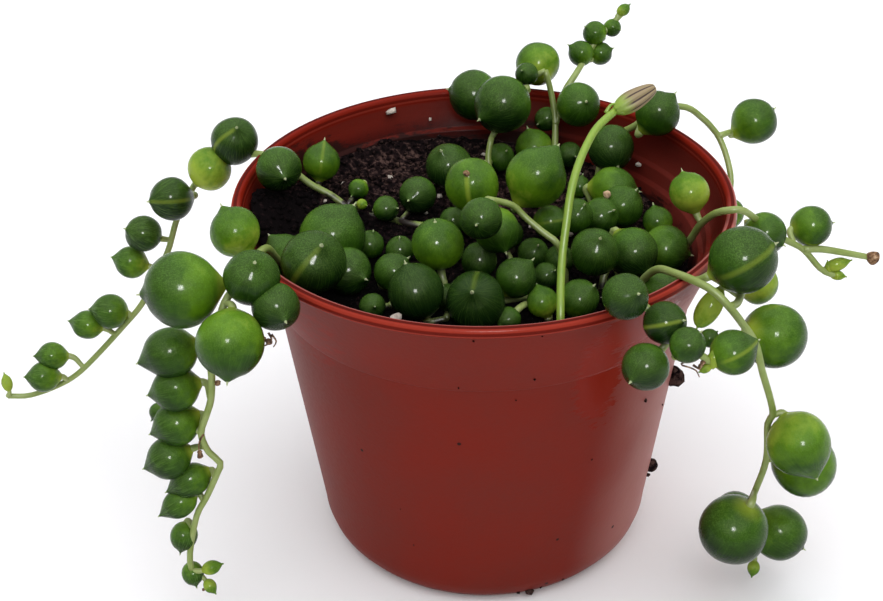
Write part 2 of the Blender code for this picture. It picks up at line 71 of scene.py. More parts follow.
def camera_axes():
    """The camera's right, up and backward directions."""
    ahead = Vector(
        (
            math.sin(CAMERA_YAW) * math.cos(CAMERA_PITCH),
            math.cos(CAMERA_YAW) * math.cos(CAMERA_PITCH),
            -math.sin(CAMERA_PITCH),
        )
    )
    level = Vector((math.cos(CAMERA_YAW), -math.sin(CAMERA_YAW), 0.0))
    raised = level.cross(ahead)
    right = level * math.cos(CAMERA_ROLL) + raised * math.sin(CAMERA_ROLL)
    up = raised * math.cos(CAMERA_ROLL) - level * math.sin(CAMERA_ROLL)
    return right, up, -ahead


VIEW_RIGHT, VIEW_UP, VIEW_NEAR = camera_axes()


def seen(right, up, near):
    """A direction given as it looks from the camera: to the right, up and towards it."""
    return (VIEW_RIGHT * right + VIEW_UP * up + VIEW_NEAR * near).normalized()


# A round leaf: its middle and width, where it points as seen from the camera, its tone from dark
# (0) to yellow green (1) or past them, where its clear window faces and how clear that is, its
# stretch along its axis, and how far its point reaches in leaf radii. A leaf with None in place
# of where it points faces away from its stem.
Leaf = namedtuple(
    "Leaf",
    "x y z width point tone window stretch reach",
    defaults=(None, 0.3, None, 1.0, 1.17),
)

# Each leafy stem by the name of its CAD node: where it leaves the soil, the routes of the stem
# and its side shoots, and its leaves.
STRANDS = {
    "strand_left_far": {
        "root": (-7.5, 4.5),
        "routes": [
            [(-10.5, 5, 46.9), (-14.5, 7.5, 46.6), (-18.5, 9, 46.6), (-22.5, 10.5, 48.8),
             (-25.5, 10.7, 50.6), (-28.8, 11, 53.5), (-32.3, 12, 54.8), (-34.5, 13.5, 54),
             (-37.3, 16, 52.8), (-40.3, 17.7, 51.5), (-43.5, 17, 47.7), (-46.5, 15, 43),
             (-48.5, 13.5, 37.5), (-51, 13, 33), (-53.5, 12.5, 28.5), (-57, 12, 24.5),
             (-61.5, 12, 19.5), (-65.5, 12, 15.5), (-69, 11.5, 13.5), (-73.5, 11, 12),
             (-77, 10.5, 12.2)],
        ],
        "leaves": [
            Leaf(-4.2, 3.3, 48, 4, (0.2, 0.8, 0.5), 0.2),
            Leaf(-9.5, 8.5, 49.3, 5.5, (-0.4, -0.3, 0.85), 0.12),
            Leaf(-14, 5.5, 48.8, 3.8, (0.7, 0, 0.6), 0.2),
            Leaf(-18.4, 11.3, 48.8, 3, (-0.5, -0.6, 0.6), 0.45),
            Leaf(-17.6, 7.4, 48.9, 1.6, (0.6, -0.2, 0.5), 0.95),
            Leaf(-24, 15, 52, 5.5, (0.15, 1, 0.1), 0.42, window=(0.1, 0, 1, 0.3), reach=1.2),
            Leaf(-29, 5, 56, 6.5, (0.35, -0.45, 0.85), 0.25),
            Leaf(-36.5, 14, 56, 7, (0.2, 0.4, 0.9), 0.0, window=(-1, -0.62, 0, 0.42)),
            Leaf(-40.5, 13, 52, 6.5, (0.6, 0.55, 0.55), 0.96, window=(0.2, -0.5, 0.9, 0.3)),
            Leaf(-46.5, 12, 47.5, 6.5, (-0.8, -0.15, 0.55), -0.1, window=(0.4, -0.2, 1, 0.3)),
            Leaf(-51.5, 12, 41.5, 5.5, (-0.7, 0.2, 0.6), 0.1),
            Leaf(-54, 12, 36.5, 5, (-1, 0.25, 0.1), 0.48, reach=1.25),
            Leaf(-58.5, 12, 27.5, 5.5, (-1, 0.1, 0.1), 0.3, reach=1.22),
            Leaf(-62.5, 12, 25, 4.6, (-1, 0.2, 0), 0.42, stretch=1.05, reach=1.27),
            Leaf(-69, 12, 19, 4.5, (-1, 0, 0.2), 0.42, stretch=1.05, reach=1.25),
            Leaf(-70.5, 10.5, 16, 5, (-1, 0, 0.25), 0.42, reach=1.24),
            Leaf(-76.9, 11, 14.4, 1.8, (-0.3, 1, 0), 1.4, stretch=1.5, reach=1.3),
        ],
    },
    "strand_left_near": {
        "root": (-25, -10),
        "routes": [
            [(-26, -11.5, 49.5), (-27.3, -14.3, 52.7), (-28, -17.5, 56.3), (-29.2, -21.3, 56.8),
             (-30.7, -25, 55.7), (-32, -28.5, 55), (-33.5, -28.7, 50.5), (-34.8, -27.8, 45.5),
             (-35, -27.5, 43), (-35.6, -27, 39), (-36.6, -26.5, 36), (-37.6, -26.5, 33),
             (-36.9, -26.5, 30), (-35.4, -27, 28.5), (-36, -27, 26.7), (-37.8, -27, 22.7),
             (-39.5, -27.5, 19.5), (-41, -28, 13.3), (-41, -28.5, 10.5)],
        ],
        "leaves": [
            Leaf(-26.8, -10, 50.3, 5.8, (-0.6, 0.75, 0.2), 0.28, reach=1.22),
            Leaf(-32, -17, 58.5, 6.5, (-0.5, 1, 0.1), 0.6, reach=1.16),
            Leaf(-28.5, -27.5, 58, 7, (0.2, 0.45, 0.87), 0.25),
            Leaf(-37.5, -27, 56, 9.5, (-1, -0.12, 0.15), 0.36, reach=1.12),
            Leaf(-31, -33, 52, 8.5, (-0.05, -1, 0.15), 0.46, reach=1.16),
            Leaf(-25.5, -29.5, 55, 6, (0.4, -0.5, 0.7), 0.06),
            Leaf(-40.8, -24, 44.4, 6.8, (-1, -0.33, 0.1), 0.22, stretch=1.04, reach=1.28),
            Leaf(-40.5, -25, 39.4, 6, (-1, -0.25, 0.1), 0.28, stretch=1.04, reach=1.22),
            Leaf(-41, -25, 33.6, 6, (-1, -0.4, 0), 0.32, stretch=1.04, reach=1.26),
            Leaf(-44, -22, 33.3, 2.6, (-0.6, -0.7, 0), 0.25),
            Leaf(-42.5, -26, 28.5, 5.8, (-1, -0.42, 0), 0.12, stretch=1.04, reach=1.24),
            Leaf(-40, -26, 24.7, 4.7, (-1, -0.5, 0), 0.26, stretch=1.2, reach=1.32),
            Leaf(-41.7, -27, 21.5, 4.1, (-1, -0.65, 0), 0.34, stretch=1.22, reach=1.34),
            Leaf(-41.8, -27, 15.5, 3.8, (-0.2, -1, 0), 0.3, stretch=1.08, reach=1.18),
            Leaf(-41, -28, 9.5, 3.1, (0.3, -1, 0.2), 0.42, stretch=1.1),
            Leaf(-38.2, -28.5, 11, 2, (0.9, 0.3, 0), 0.8, stretch=1.35, reach=1.3),
            Leaf(-38.6, -29, 8, 1.8, (0.6, -0.8, 0), 0.85, stretch=1.2, reach=1.3),
        ],
    },
    "strand_right_near": {
        "root": (20.5, -12.5),
        "routes": [
            [(21.1, -13, 47.5), (21.8, -15.3, 50.6), (22.7, -18.5, 53.4), (24, -22, 55),
             (26.2, -25, 55.7), (28.5, -27, 55.3), (30.4, -27.9, 53.6), (32.2, -27.5, 51),
             (34.3, -27, 47.5), (35.8, -26, 42.5), (37.6, -25, 37), (38.2, -24.5, 34.3),
             (37.8, -24, 32.5), (38.3, -23.5, 26), (37.2, -24, 21), (36.6, -23.5, 17.5),
             (37.6, -21.5, 12.5), (38.7, -21, 6.5)],
            [(30.4, -27.9, 53.6), (32, -24.8, 52.3), (33.5, -20, 51.5), (35.3, -15.5, 49.5)],
        ],
        "leaves": [
            Leaf(32.5, -23, 57.5, 8.5, (0.8, 0.42, 0.42), 0.1, window=(-0.15, -0.3, 1, 0.32),
                 reach=1.08),
            Leaf(28.7, -23.5, 50.6, 3.1, (-0.5, -0.85, -0.1), 1.0, stretch=1.85, reach=1.06),
            Leaf(37, -12, 47, 5.5, (0.5, -0.5, -0.5), 0.8),
            Leaf(38, -21, 44.6, 8.5, (0.85, -0.15, -0.5), 0.32, window=(-0.3, 0.9, 0.5, 0.3),
                 reach=1.08),
            Leaf(41.5, -27, 31.5, 8.5, (0.42, -0.9, 0.2), 0.6, reach=1.22),
            Leaf(44.5, -19.5, 22, 9, (0.2, -0.3, -0.9), 0.35, reach=1.08),
            Leaf(34, -27.5, 17, 9.5, (-0.35, -0.75, -0.55), 0.0, reach=1.06),
            Leaf(42.5, -19, 9, 8, (0.82, -0.55, 0.1), 0.3, reach=1.06),
            Leaf(36.5, -16.5, 10, 7, (-0.2, 0.3, -0.9), 0.2, reach=1.06),
            Leaf(39, -21, 4, 1.8, (-0.2, -1, 0), 0.85, stretch=1.2, reach=1.3),
        ],
    },
    "strand_right_far": {
        "root": (28.2, 0),
        "routes": [
            [(28.5, -0.5, 45.5), (29.3, -2.5, 49), (29.9, -5, 52.4), (31.3, -7.5, 55.4),
             (33, -8.8, 56.6), (34.8, -8.5, 56.3), (38.2, -4.3, 52), (41.8, -3, 48.7),
             (44.8, -2.5, 46.7), (47.6, -2, 43.3), (49.2, -2, 42.3), (50.8, -2, 42)],
            [(44.8, -2.5, 46.7), (47.5, -2, 46.4), (50.9, -1.5, 45.5), (54.3, -1, 44.5)],
        ],
        "leaves": [
            Leaf(28.2, -3, 56.2, 5.5, (-0.35, 1, 0.1), 0.86, reach=1.12),
            Leaf(38.6, -5.2, 50.8, 6, (0.7, -0.5, 0.5), 0.32, reach=1.1),
            Leaf(46.1, 0, 49, 5.8, (1, 0.15, -0.2), 0.32, window=(0.1, -1, 0.4, 0.5)),
            Leaf(50.1, -1.4, 43.5, 1.9, (1, 0.3, 0.1), 1.05, stretch=1.75, reach=1.3),
            Leaf(50.2, -1.8, 42, 1.5, (1, -0.2, 0.2), 1.0, stretch=1.4, reach=1.3),
            Leaf(48.9, -1.7, 43.2, 1, (-0.2, 1, 0.2), 1.0, stretch=1.6, reach=1.3),
        ],
    },
    "strand_back_right": {
        "root": (17.5, 18.5),
        "routes": [
            [(17.8, 20.5, 47), (19, 22.8, 50.3), (21.2, 22.2, 52.8), (23.1, 21, 54.6),
             (26.5, 21.2, 57.2), (30.5, 21.5, 57.3), (33.4, 23, 54.7), (35.2, 24, 52.5),
             (36.4, 24, 50.8), (37.4, 22, 48.6), (38, 19.8, 45.5), (37.4, 18.5, 41.5),
             (36.3, 18, 37.5), (35, 18, 33)],
            [(36.2, 24, 51.2), (38.3, 26, 50.9)],
        ],
        "leaves": [
            Leaf(19.4, 19, 51.8, 7, (0.2, -0.75, 0.5), 0.0, reach=1.06),
            Leaf(25.8, 17, 58.5, 6.6, (0.6, 0.7, 0.25), 0.12),
            Leaf(42.2, 28, 51.7, 7, (0.95, 0.6, 0.1), 0.3, reach=1.06),
            Leaf(34, 22, 43.5, 5.2, None, 0.3),
            Leaf(38.5, 22.5, 38.5, 5, None, 0.35),
            Leaf(31.5, 20, 36.5, 4.6, None, 0.3),
            Leaf(35.5, 20.5, 30, 3.6, None, 0.5),
        ],
    },
    "strand_top": {
        "root": (11.2, 22),
        "routes": [
            [(11.2, 22.8, 47.5), (11.2, 24.2, 49.7), (11.3, 26.3, 52.2), (11, 27.5, 55),
             (10.4, 28.3, 57.8), (9.7, 28.6, 60.3)],
            [(11.3, 26.3, 52.2), (12.6, 29.2, 56), (14.3, 30.8, 58.3), (15.2, 32.8, 58.8),
             (16.6, 35, 60.2), (18.3, 36.5, 62.2), (22, 38.8, 65.3)],
        ],
        "leaves": [
            Leaf(8, 25, 49, 5.8, (-0.3, 0.8, 0.4), 0.7),
            Leaf(13.5, 24, 48.2, 4, (0.3, -0.2, 0.9), 0.1),
            Leaf(10, 28, 52.4, 3.8, (-0.6, -0.4, 0.6), 0.25),
            Leaf(14.7, 25.5, 56, 6.7, (0.25, 0, 0.95), 0.45, reach=1.08),
            Leaf(8.7, 33, 59.5, 6.8, (-0.3, 0.7, -0.6), 0.52),
            Leaf(6.8, 27, 60.5, 3.5, (-0.4, 0.1, 0.9), 0.25),
            Leaf(15.5, 35, 60.3, 4, (-0.8, 0.5, 0.2), 0.4),
            Leaf(18.7, 36.5, 59.6, 3.6, (0.8, 0.3, 0.3), 0.4),
            Leaf(17.7, 37, 62.8, 3.8, (-0.6, 0.3, 0.5), 0.48),
            Leaf(20.5, 38, 63.3, 2.8, (0.6, -0.3, 0.6), 0.5),
            Leaf(22.2, 39, 65.8, 1.8, (0.8, 0.7, 0), 0.7, stretch=1.3),
        ],
    },
    "strand_back": {
        "root": (1, 17.5),
        "routes": [[(1, 18.2, 48), (0.9, 19.5, 50.8), (1.4, 20.5, 53)]],
        "leaves": [
            Leaf(-5, 16, 50.5, 7, (-0.3, 0.5, 0.8), 0.08),
            Leaf(2.8, 22.5, 48.6, 4.4, (0.3, 0.3, 0.9), 0.4),
            Leaf(3, 21.8, 57.9, 8.6, (-0.7, -0.52, 0.45), 0.18),
            Leaf(-1.3, 28.7, 56.3, 7.7, (-1, 0.2, 0.1), 0.15, reach=1.08),
        ],
    },
    "strand_middle": {
        "root": (11.3, -8),
        "routes": [
            [(11.1, -8, 48), (10.2, -8, 51), (8.1, -7, 52.4), (5.8, -6, 54.1), (4, -5.6, 55.8),
             (0.6, -6.5, 57.3)],
        ],
        "leaves": [
            Leaf(-1.5, -1, 56.5, 7.5, (-0.2, 0.33, 0.92), 0.7, window=(0.05, -1, 0, 0.7),
                 reach=1.06),
            Leaf(7.4, -0.6, 57.4, 8.4, (0.6, 0.86, 0.1), 0.48, reach=1.29),
            Leaf(-0.2, -14, 58.5, 5.5, (-0.25, -0.35, 0.9), 0.2, reach=1.06),
            Leaf(1.9, -9, 53.8, 6.2, (0.3, -0.8, 0.4), 0.45),
        ],
    },
    "strand_right_over": {
        "root": (17.8, -18.5),
        "routes": [
            [(17.9, -20.3, 47.5), (17.9, -24, 52.5), (18, -27.3, 55.6), (19, -29.3, 55.6),
             (20.8, -30.3, 54.2), (22.8, -31.5, 52.9), (24.6, -33.6, 52.2), (26.3, -34.3, 50.8),
             (27.6, -34.2, 49.6)],
        ],
        "leaves": [
            Leaf(17.1, -32, 57.8, 5.7, (0.35, 0.1, 0.93), 0.06),
            Leaf(22.1, -31.5, 53.7, 5.4, (0.62, 0.1, 0.8), -0.1, window=(-1, -0.2, 0, 0.5)),
            Leaf(24.3, -36, 53.5, 4.4, (0.5, 0.6, 0.6), 0.2),
            Leaf(19.5, -35.5, 50, 5.8, (-0.6, -0.52, 0.6), 0.14),
            Leaf(30.4, -33, 50.3, 5.6, (1, 0.5, 0.1), 0.3, window=(-0.1, -0.2, 1, 0.45),
                 reach=1.25),
            Leaf(28.2, -28.5, 49.4, 2.4, (0.5, 0.5, 0.5), 0.2),
            Leaf(27.9, -34, 50, 1.5, (0.1, 1, 0.2), 1.05, stretch=1.6, reach=1.25),
            Leaf(27, -34.6, 49.1, 1.1, (-0.9, -0.5, 0.2), 0.95, stretch=1.5, reach=1.25),
        ],
    },
    "strand_crown_left": {
        "root": (-16.5, -8.5),
        "routes": [[(-17.4, -9.2, 47.4), (-19, -10.7, 48.2), (-20, -12.2, 49.6)]],
        "leaves": [
            Leaf(-20.5, -7, 52, 9, (0.57, 0.8, 0.15), 0.32),
            Leaf(-22, -17.8, 54.3, 8.6, (0.28, 0.42, 0.86), 0.16, window=(-0.7, -0.8, 0, 0.25)),
            Leaf(-18.1, -13.5, 49.6, 6.4, (0.7, -0.3, 0.65), 0.2),
            Leaf(-15.7, -4.5, 49, 4, (0.2, 0.7, 0.6), 0.3),
        ],
    },
    "strand_crown_front_left": {
        "root": (-10, -9),
        "routes": [[(-10.2, -11, 47), (-11, -14, 46.9), (-12.5, -16.8, 46.8)]],
        "leaves": [
            Leaf(-12, -12.5, 49.5, 5.3, (0.65, 0.6, 0.45), 0.16),
            Leaf(-11.5, -5.5, 48.5, 4, (0, 0.7, 0.7), 0.25),
            Leaf(-14.5, -19.5, 48.5, 3.5, (0.2, 0, 1), 0.1),
        ],
    },
    "strand_crown_front": {
        "root": (-4.5, -12),
        "routes": [[(-4.4, -13.3, 47), (-4.5, -16, 46.3), (-4.9, -19, 46.2)]],
        "leaves": [
            Leaf(-6, -12, 53.5, 7, (-0.1, 0.8, 0.58), 0.58, reach=1.04),
            Leaf(-0.5, -8, 48.5, 5, (0.2, 0.6, 0.75), 0.18),
            Leaf(-4.8, -16.2, 47.5, 3.8, (-0.2, 0.6, 0.6), 0.1),
            Leaf(-1, -19.5, 49.2, 7.8, (-0.12, 0.25, 0.95), -0.38, window=(0.1, 1, 0, 0.15)),
            Leaf(-8.8, -19, 50.5, 7.4, (-0.3, 0.85, 0.4), -0.2),
        ],
    },
    "strand_crown_front_right": {
        "root": (5.5, -8.5),
        "routes": [
            [(5.8, -10.5, 45.9), (6.8, -12.8, 45.6), (9, -13.6, 45.4), (11, -12.8, 45.2)],
            [(5.6, -9.3, 46), (4.3, -5.5, 45.9), (3.6, -2.3, 46)],
        ],
        "leaves": [
            Leaf(7, -5, 47.8, 4.4, (0.2, 0.4, 0.9), 0.25),
            Leaf(3.8, 0.8, 47.6, 4, (-0.2, 0.7, 0.6), 0.2),
            Leaf(4.4, -15, 50, 5.4, (0.72, 0.8, 0.1), 0.04, reach=1.2),
            Leaf(8.5, -11.5, 48.2, 3.5, (0.5, 0.3, 0.8), 0.06),
            Leaf(7.8, -16.7, 47.3, 4.2, (-0.35, 1.05, 0.1), 0.55, reach=1.2),
            Leaf(12.8, -15.6, 47, 5.4, (0.55, 0.55, 0.6), 0.3),
            Leaf(3.2, -20.5, 47, 3.4, (-0.5, -0.5, 0.5), 0.05),
            Leaf(10.5, -6.5, 47.6, 4.2, (0.3, 0.5, 0.7), 0.1),
        ],
    },
    "strand_crown_right": {
        "root": (16.5, -7.5),
        "routes": [[(17.2, -6.3, 46), (19.3, -2.8, 45), (22, 0.5, 44.8), (23.8, 4.8, 44.7)]],
        "leaves": [
            Leaf(15, -11, 51.5, 6.6, (0.1, 0.45, 0.87), 0.26),
            Leaf(20.5, -7, 49, 7, (0.5, -0.75, 0.4), 0.12),
            Leaf(25.5, -3, 47.2, 6.6, (1, -0.25, 0.1), 0.3, reach=1.14),
            Leaf(24, -14.3, 47.3, 5.6, (0.6, 0.3, 0.5), 0.2),
            Leaf(25.4, 6.5, 46.2, 4.4, (-0.25, 1, 0.1), 0.4, reach=1.15),
        ],
    },
    "strand_crown_back_right": {
        "root": (11.5, 3.5),
        "routes": [
            [(12.3, 5.5, 46.3), (14.3, 9, 46), (15.8, 11.5, 45.8), (16.3, 14, 45.7),
             (17, 17, 45.6)],
        ],
        "leaves": [
            Leaf(9.5, -0.5, 50.2, 4.8, (0.7, 0.1, 0.7), 0.5, window=(-1, -0.2, 0.8, 0.3)),
            Leaf(13.2, 0.2, 50.8, 4.8, (0.3, 0.5, 0.8), 0.38),
            Leaf(16.9, 4, 48.6, 5.3, (0.5, 0.2, 0.8), 0.35),
            Leaf(20.3, 8, 48, 6.2, (0.5, 0.6, 0.6), 0.38),
            Leaf(19.4, 13, 48, 6.8, (1, -0.1, 0.1), 0.4, reach=1.16),
            Leaf(14.5, 15.2, 47.3, 3.5, (0.2, 0.8, 0.5), 0.25),
        ],
    },
}

# A stem's radius at its root and tip, a leaf stalk's, and how pale each is.
STEM_RADII = (0.54, 0.43)
STEM_TONE = 0.6
STALK_RADIUS = 0.4
STALK_TONE = 0.7
# The width from which a leaf is large and the radius of a truly large one, and how far a blunt
# cone and a long point reach from the leaf's middle, in its radii.
LARGE_LEAF = 4.5
LARGE_LEAF_RADIUS = 3.9
BLUNT_REACH = 1.08
LONG_REACH = 1.2

# The flower stalk and its closed head, with the head's outline in (share of its length, radius).
FLOWER_ROOT = (10, -22)
FLOWER_ROUTE = [
    (10, -21.5, 48), (10.1, -18.5, 51), (10.4, -15.5, 54), (11, -13, 57.6), (11.5, -11, 60.3),
    (12.4, -8.5, 62.7), (13.7, -5.4, 64.4), (15.4, -2.2, 65.7), (17.9, 0.5, 66.8),
]
FLOWER_STALK_RADIUS = 0.53
BUD_FOOT = Vector((17.9, 0.5, 66.8))
BUD_POINT = Vector((23.4, 3, 69.1))
BUD_OUTLINE = (
    (0.0, 0.6), (0.06, 0.85), (0.14, 1.15), (0.28, 1.36), (0.45, 1.4), (0.62, 1.28),
    (0.78, 1.08), (0.9, 0.86), (0.97, 0.62), (1.0, 0.3), (1.0, 0.0),
)
BUD_RIBS = 8
# Small bracts under the head: where they start along it, where they lean and their length, and
# their radius at the foot and tip.
SMALL_BRACTS = (
    (-1.2, seen(-0.6, 0.8, 0.3), 2.6),
    (0.2, seen(0.5, -0.9, 0.6), 1.6),
    (0.1, seen(0.1, 0.2, 1.0), 1.9),
)
BRACT_RADII = (0.3, 0.08)

# The pot's section in (radius, height): the CAD part's, but with rounded edges, a finer lip and
# rings inside that lie a little lower.
POT_INSIDE = (
    (0.0, 1.2), (20.8, 1.2), (22.2, 1.9), (23.6, 4.0), (24.2, 6.5), (28.7, 41.6), (29.9, 44.6),
    (30.2, 46.5), (30.3, 46.75), (30.9, 46.98), (31.0, 47.15), (31.14, 48.9), (31.25, 49.15),
    (31.75, 49.38), (31.88, 49.6), (33.35, 53.8), (33.5, 54.4), (33.68, 54.78), (33.95, 54.96),
)
POT_LIP = (
    (34.12, 54.96), (34.24, 54.84), (34.36, 54.82), (34.5, 54.93), (34.66, 54.95), (34.86, 54.78),
    (34.97, 54.5), (35.0, 54.25), (35.0, 53.98),
    (34.94, 53.82), (34.78, 53.72), (34.45, 53.68), (34.34, 53.62), (34.3, 53.5), (34.31, 53.35),
    (34.22, 53.2), (34.12, 53.05),
)
POT_WALL = (
    (30.25, 42.8), (30.13, 42.5), (30.02, 42.35), (29.86, 42.22), (29.78, 42.0), (24.95, 5.2),
    (24.84, 3.9), (24.3, 2.2), (23.3, 0.85), (21.9, 0.15), (20.6, 0.0), (0.0, 0.0),
)
DRAIN_HOLES = 6
DRAIN_RING_RADIUS = 13.5
DRAIN_HOLE_RADIUS = 2.2
# How fast the collar widens upwards, and the heights where the wall's finish turns into the lip's.
COLLAR_SLOPE = 0.37
LIP_FOOT = (53.2, 53.7)
# How far ragged noise moves the edge of a patch on the wall, as a share of the patch.
RAGGED = 2.4

# The soil's top at the pot's axis with its slope, and its plain side down to its underside.
SOIL_MIDDLE = 45.2
SOIL_SLOPE_X = -0.085
SOIL_SLOPE_Y = 0.03
SOIL_EDGE_RADIUS = 29.7
# Above this height the pot's inside widens, and the soil with it.
SOIL_SPREAD_FROM = 46.6
SOIL_SPREAD = 0.42
SOIL_SIDE = ((28.2, 41.6), (23.8, 6.6), (21.1, 1.5), (0.0, 1.5))
SOIL_CLEARANCE = 0.7
# Clods on the soil in (height, width), the mound at the left wall and the bank along the back.
CLODS = ((0.35, 9.0), (0.5, 2.6), (0.35, 1.1))
MOUND_HEIGHT = 5.8
MOUND_MIDDLE = (-31.0, 2.0)
MOUND_SIZE = (6.0, 9.0)
BANK_HEIGHT = 1.9
BANK_Y = (8.0, 18.0)
BANK_RADIUS = (28.2, 29.8)
# Heights above the soil where a stem is clean again and where it is covered in peat.
SOILED = (2.88, 1.08)
# Perlite grains that show in the photograph, apart from the scattered ones.
PERLITE_PLACES = [(-14.4, 29.3, 53.3), (-8.2, 30.7, 51.2), (23.7, 19.8, 48.6), (-11.2, -24, 49.6)]
PERLITE_SIZE = 0.9
LARGE_CRUMB = 1.8
CRUMB_BATCHES = 10

# Dry heads and scars in (middle, width, freshness).
WITHERED_HEADS = (
    ((55.1, -1.0, 44.4), 1.9, 0.0),
    (Vector((-1.5, -1, 56.5)) + seen(-0.2, 0.33, 0.92) * 3.85, 0.9, 0.0),
    (Vector((20.3, 8, 49.2)) + seen(-0.8, 0.16, 0.55) * 3.0, 1.1, 1.0),
    ((-38, -27, 29.7), 0.8, 0.0),
    ((-38, -27, 30.3), 0.6, 0.0),
    ((-34.2, -28, 42.4), 0.8, 0.0),
    ((-26.9, -28.9, 49.4), 0.9, 0.0),
    ((-27.6, -28.7, 49.6), 0.7, 0.0),
    ((26.6, -34.6, 50), 0.7, 0.0),
    ((26.4, -34.5, 49.3), 0.8, 0.0),
    ((-39.6, -29, 7.3), 0.45, 0.0),
)
DEAD_ROOTS = (
    [(26.2, -34, 50.4), (24, -34.5, 49.7), (25, -34.7, 49.3), (25.8, -34.8, 48.9),
     (26.3, -34.6, 47.8)],
    [(25.4, -34.6, 49.6), (26.2, -34.9, 49.2), (27.3, -34.8, 48.8)],
    [(-37.2, -26.8, 33.2), (-37.7, -27, 32.4), (-38, -27, 31.2), (-38, -27, 29.8)],
    [(-27.0, -28.2, 50.3), (-26.6, -28.6, 49.6), (-27.2, -28.8, 48.9), (-28.2, -28.6, 48.4)],
    [(-26.6, -28.4, 50.2), (-26.0, -28.8, 49.4), (-26.4, -28.9, 48.6)],
)
DEAD_ROOT_RADII = (0.16, 0.07)
# Crumbs of peat stuck to the pot's wall, in (degrees from the right, height, width).
WALL_CRUMBS = (
    (-14, 11.2, 2.2), (-16, 10.0, 1.0), (-14, 28.1, 2.2), (-16, 29.8, 1.4),
    (-74, 1.3, 1.2), (-70, 1.6, 0.7), (-78, 1.2, 0.8), (-62, 2.2, 0.6),
    (-96, 43.1, 0.3), (-82, 40.5, 0.4), (-78, 44.4, 0.3), (-92, 52.9, 0.3),
    (-78, 53.1, 0.3), (-116, 17.7, 0.4), (-113, 10.8, 0.5), (-58, 26.1, 0.35),
    (-22, 25.6, 0.4), (-39, 32.0, 0.4), (40, 22, 0.6), (120, 34, 0.5), (165, 12, 0.7),
)

FLOOR_HALF_WIDTH = 2500.0
# Vertices closer than this are the same one.
WELD = 0.001


def linear(colour):
    """The linear value of an sRGB colour such as "#8A2B1C", with full alpha."""
    shares = [int(colour[i : i + 2], 16) / 255 for i in (1, 3, 5)]
    return (*[s / 12.92 if s <= 0.04045 else ((s + 0.055) / 1.055) ** 2.4 for s in shares], 1.0)


def colour_property(name, description, colour):
    """A colour that a user can change."""
    return FloatVectorProperty(
        name=name,
        description=description,
        subtype="COLOR",
        size=4,
        min=0.0,
        max=1.0,
        default=linear(colour),
    )


def fill_inputs(tree, node, inputs):
    """Links a node's inputs to other nodes' outputs, or sets them to plain values."""
    for name, value in inputs.items():
        if isinstance(value, bpy.types.NodeSocket):
            tree.links.new(value, node.inputs[name])
        else:
            node.inputs[name].default_value = value


def add_node(tree, kind, inputs=(), stops=(), **settings):
    """Adds a node with its settings and links, and gives its outputs. The inputs stand in a list
    in their order, or in a dictionary by name. Stops are a colour ramp's, from low to high."""
    made = tree.nodes.new(kind)
    for name, value in settings.items():
        setattr(made, name, value)
    fill_inputs(tree, made, inputs if isinstance(inputs, dict) else dict(enumerate(inputs)))
    for i, (position, colour) in enumerate(stops):
        ramp = made.color_ramp.elements
        stop = ramp[i] if i < 2 else ramp.new(position)
        stop.position = position
        stop.color = colour
    return made.outputs


def new_material(name):
    """A material with its tree and its Principled shader."""
    material = bpy.data.materials.new(name)
    material.use_nodes = True
    return material, material.node_tree, material.node_tree.nodes["Principled BSDF"]


def place_in_mm(tree):
    """A place on the piece in millimetres, so that a pattern's scale is one over its grain."""
    place = add_node(tree, "ShaderNodeTexCoord")["Object"]
    return add_node(tree, "ShaderNodeVectorMath", {0: place, 3: 1 / MM}, operation="SCALE")[0]


def facing_up(tree):
    """How far the surface faces up, from -1 to 1."""
    normal = add_node(tree, "ShaderNodeNewGeometry")["Normal"]
    return add_node(tree, "ShaderNodeSeparateXYZ", [normal])[2]


def faded(tree, *edges):
    """A share that fades in where a value passes from a first limit to a second one, from 0 to 1
    or between two given numbers. Several edges are multiplied, and so bound a zone."""
    share = 1.0
    for value, start, end, *shares in edges:
        step = add_node(
            tree,
            "ShaderNodeMapRange",
            [value, start, end, *shares],
            interpolation_type="SMOOTHSTEP",
        )[0]
        share = add_node(tree, "ShaderNodeMath", [share, step], operation="MULTIPLY")[0]
    return share


def laid_over(tree, colour, layers):
    """A colour with others laid over it in turn, each by its share."""
    for share, layer in layers:
        inputs = {0: share, 6: colour, 7: layer}
        colour = add_node(tree, "ShaderNodeMix", inputs, data_type="RGBA")[2]
    return colour


class PotSettings(PropertyGroup):
    sides: IntProperty(
        name="Sides", description="Flat strips round the pot", default=160, min=24, max=360
    )
    clean: colour_property("Clean plastic", "Plastic where it is wet or wiped", "#7E1B0C")
    film: colour_property("Dusty film", "The dull film that dries on the wall", "#672A22")
    # Lime film with painted sheen at the wall's right and the lip's right, also the painted glint
    # on the lip's inner edge and the thin dust mist at the left.
    haze_and_painted_sheen: colour_property("Haze", "Thicker lime film at the right", "#B67A73")
    # Painted shade: the darker inside of the wall, and the lip's groove and shaded line.
    painted_shade: colour_property("Damp inside", "Damp plastic above the soil", "#430F0B")
    # Painted highlight: the bright lines along the lip's outer edge.
    painted_lip_highlight: colour_property("Rubbed edge", "Bright outer edge of the lip", "#9E382A")
    speck: colour_property("Peat speck", "Specks of peat stuck to the wall", "#241311")
    roughness: FloatProperty(
        name="Roughness", description="Roughness of the moulded wall", default=0.42, min=0, max=1
    )


class SoilSettings(PropertyGroup):
    crumbs: IntProperty(
        name="Crumbs", description="Loose crumbs of peat on the soil", default=5000, min=0
    )
    crumb_size: FloatProperty(
        name="Crumb size",
        description="Width of a middling crumb",
        default=0.95 * MM,
        min=0.1 * MM,
        unit="LENGTH",
        precision=5,
    )
    perlite: IntProperty(
        name="Perlite", description="White grains among the peat", default=36, min=0
    )
    dark: colour_property("Wet peat", "Peat between the crumbs", "#080405")
    light: colour_property("Dry peat", "Dry crumbs on top", "#54403A")
    white: colour_property("Perlite", "Expanded perlite grains", "#BDB2A6")


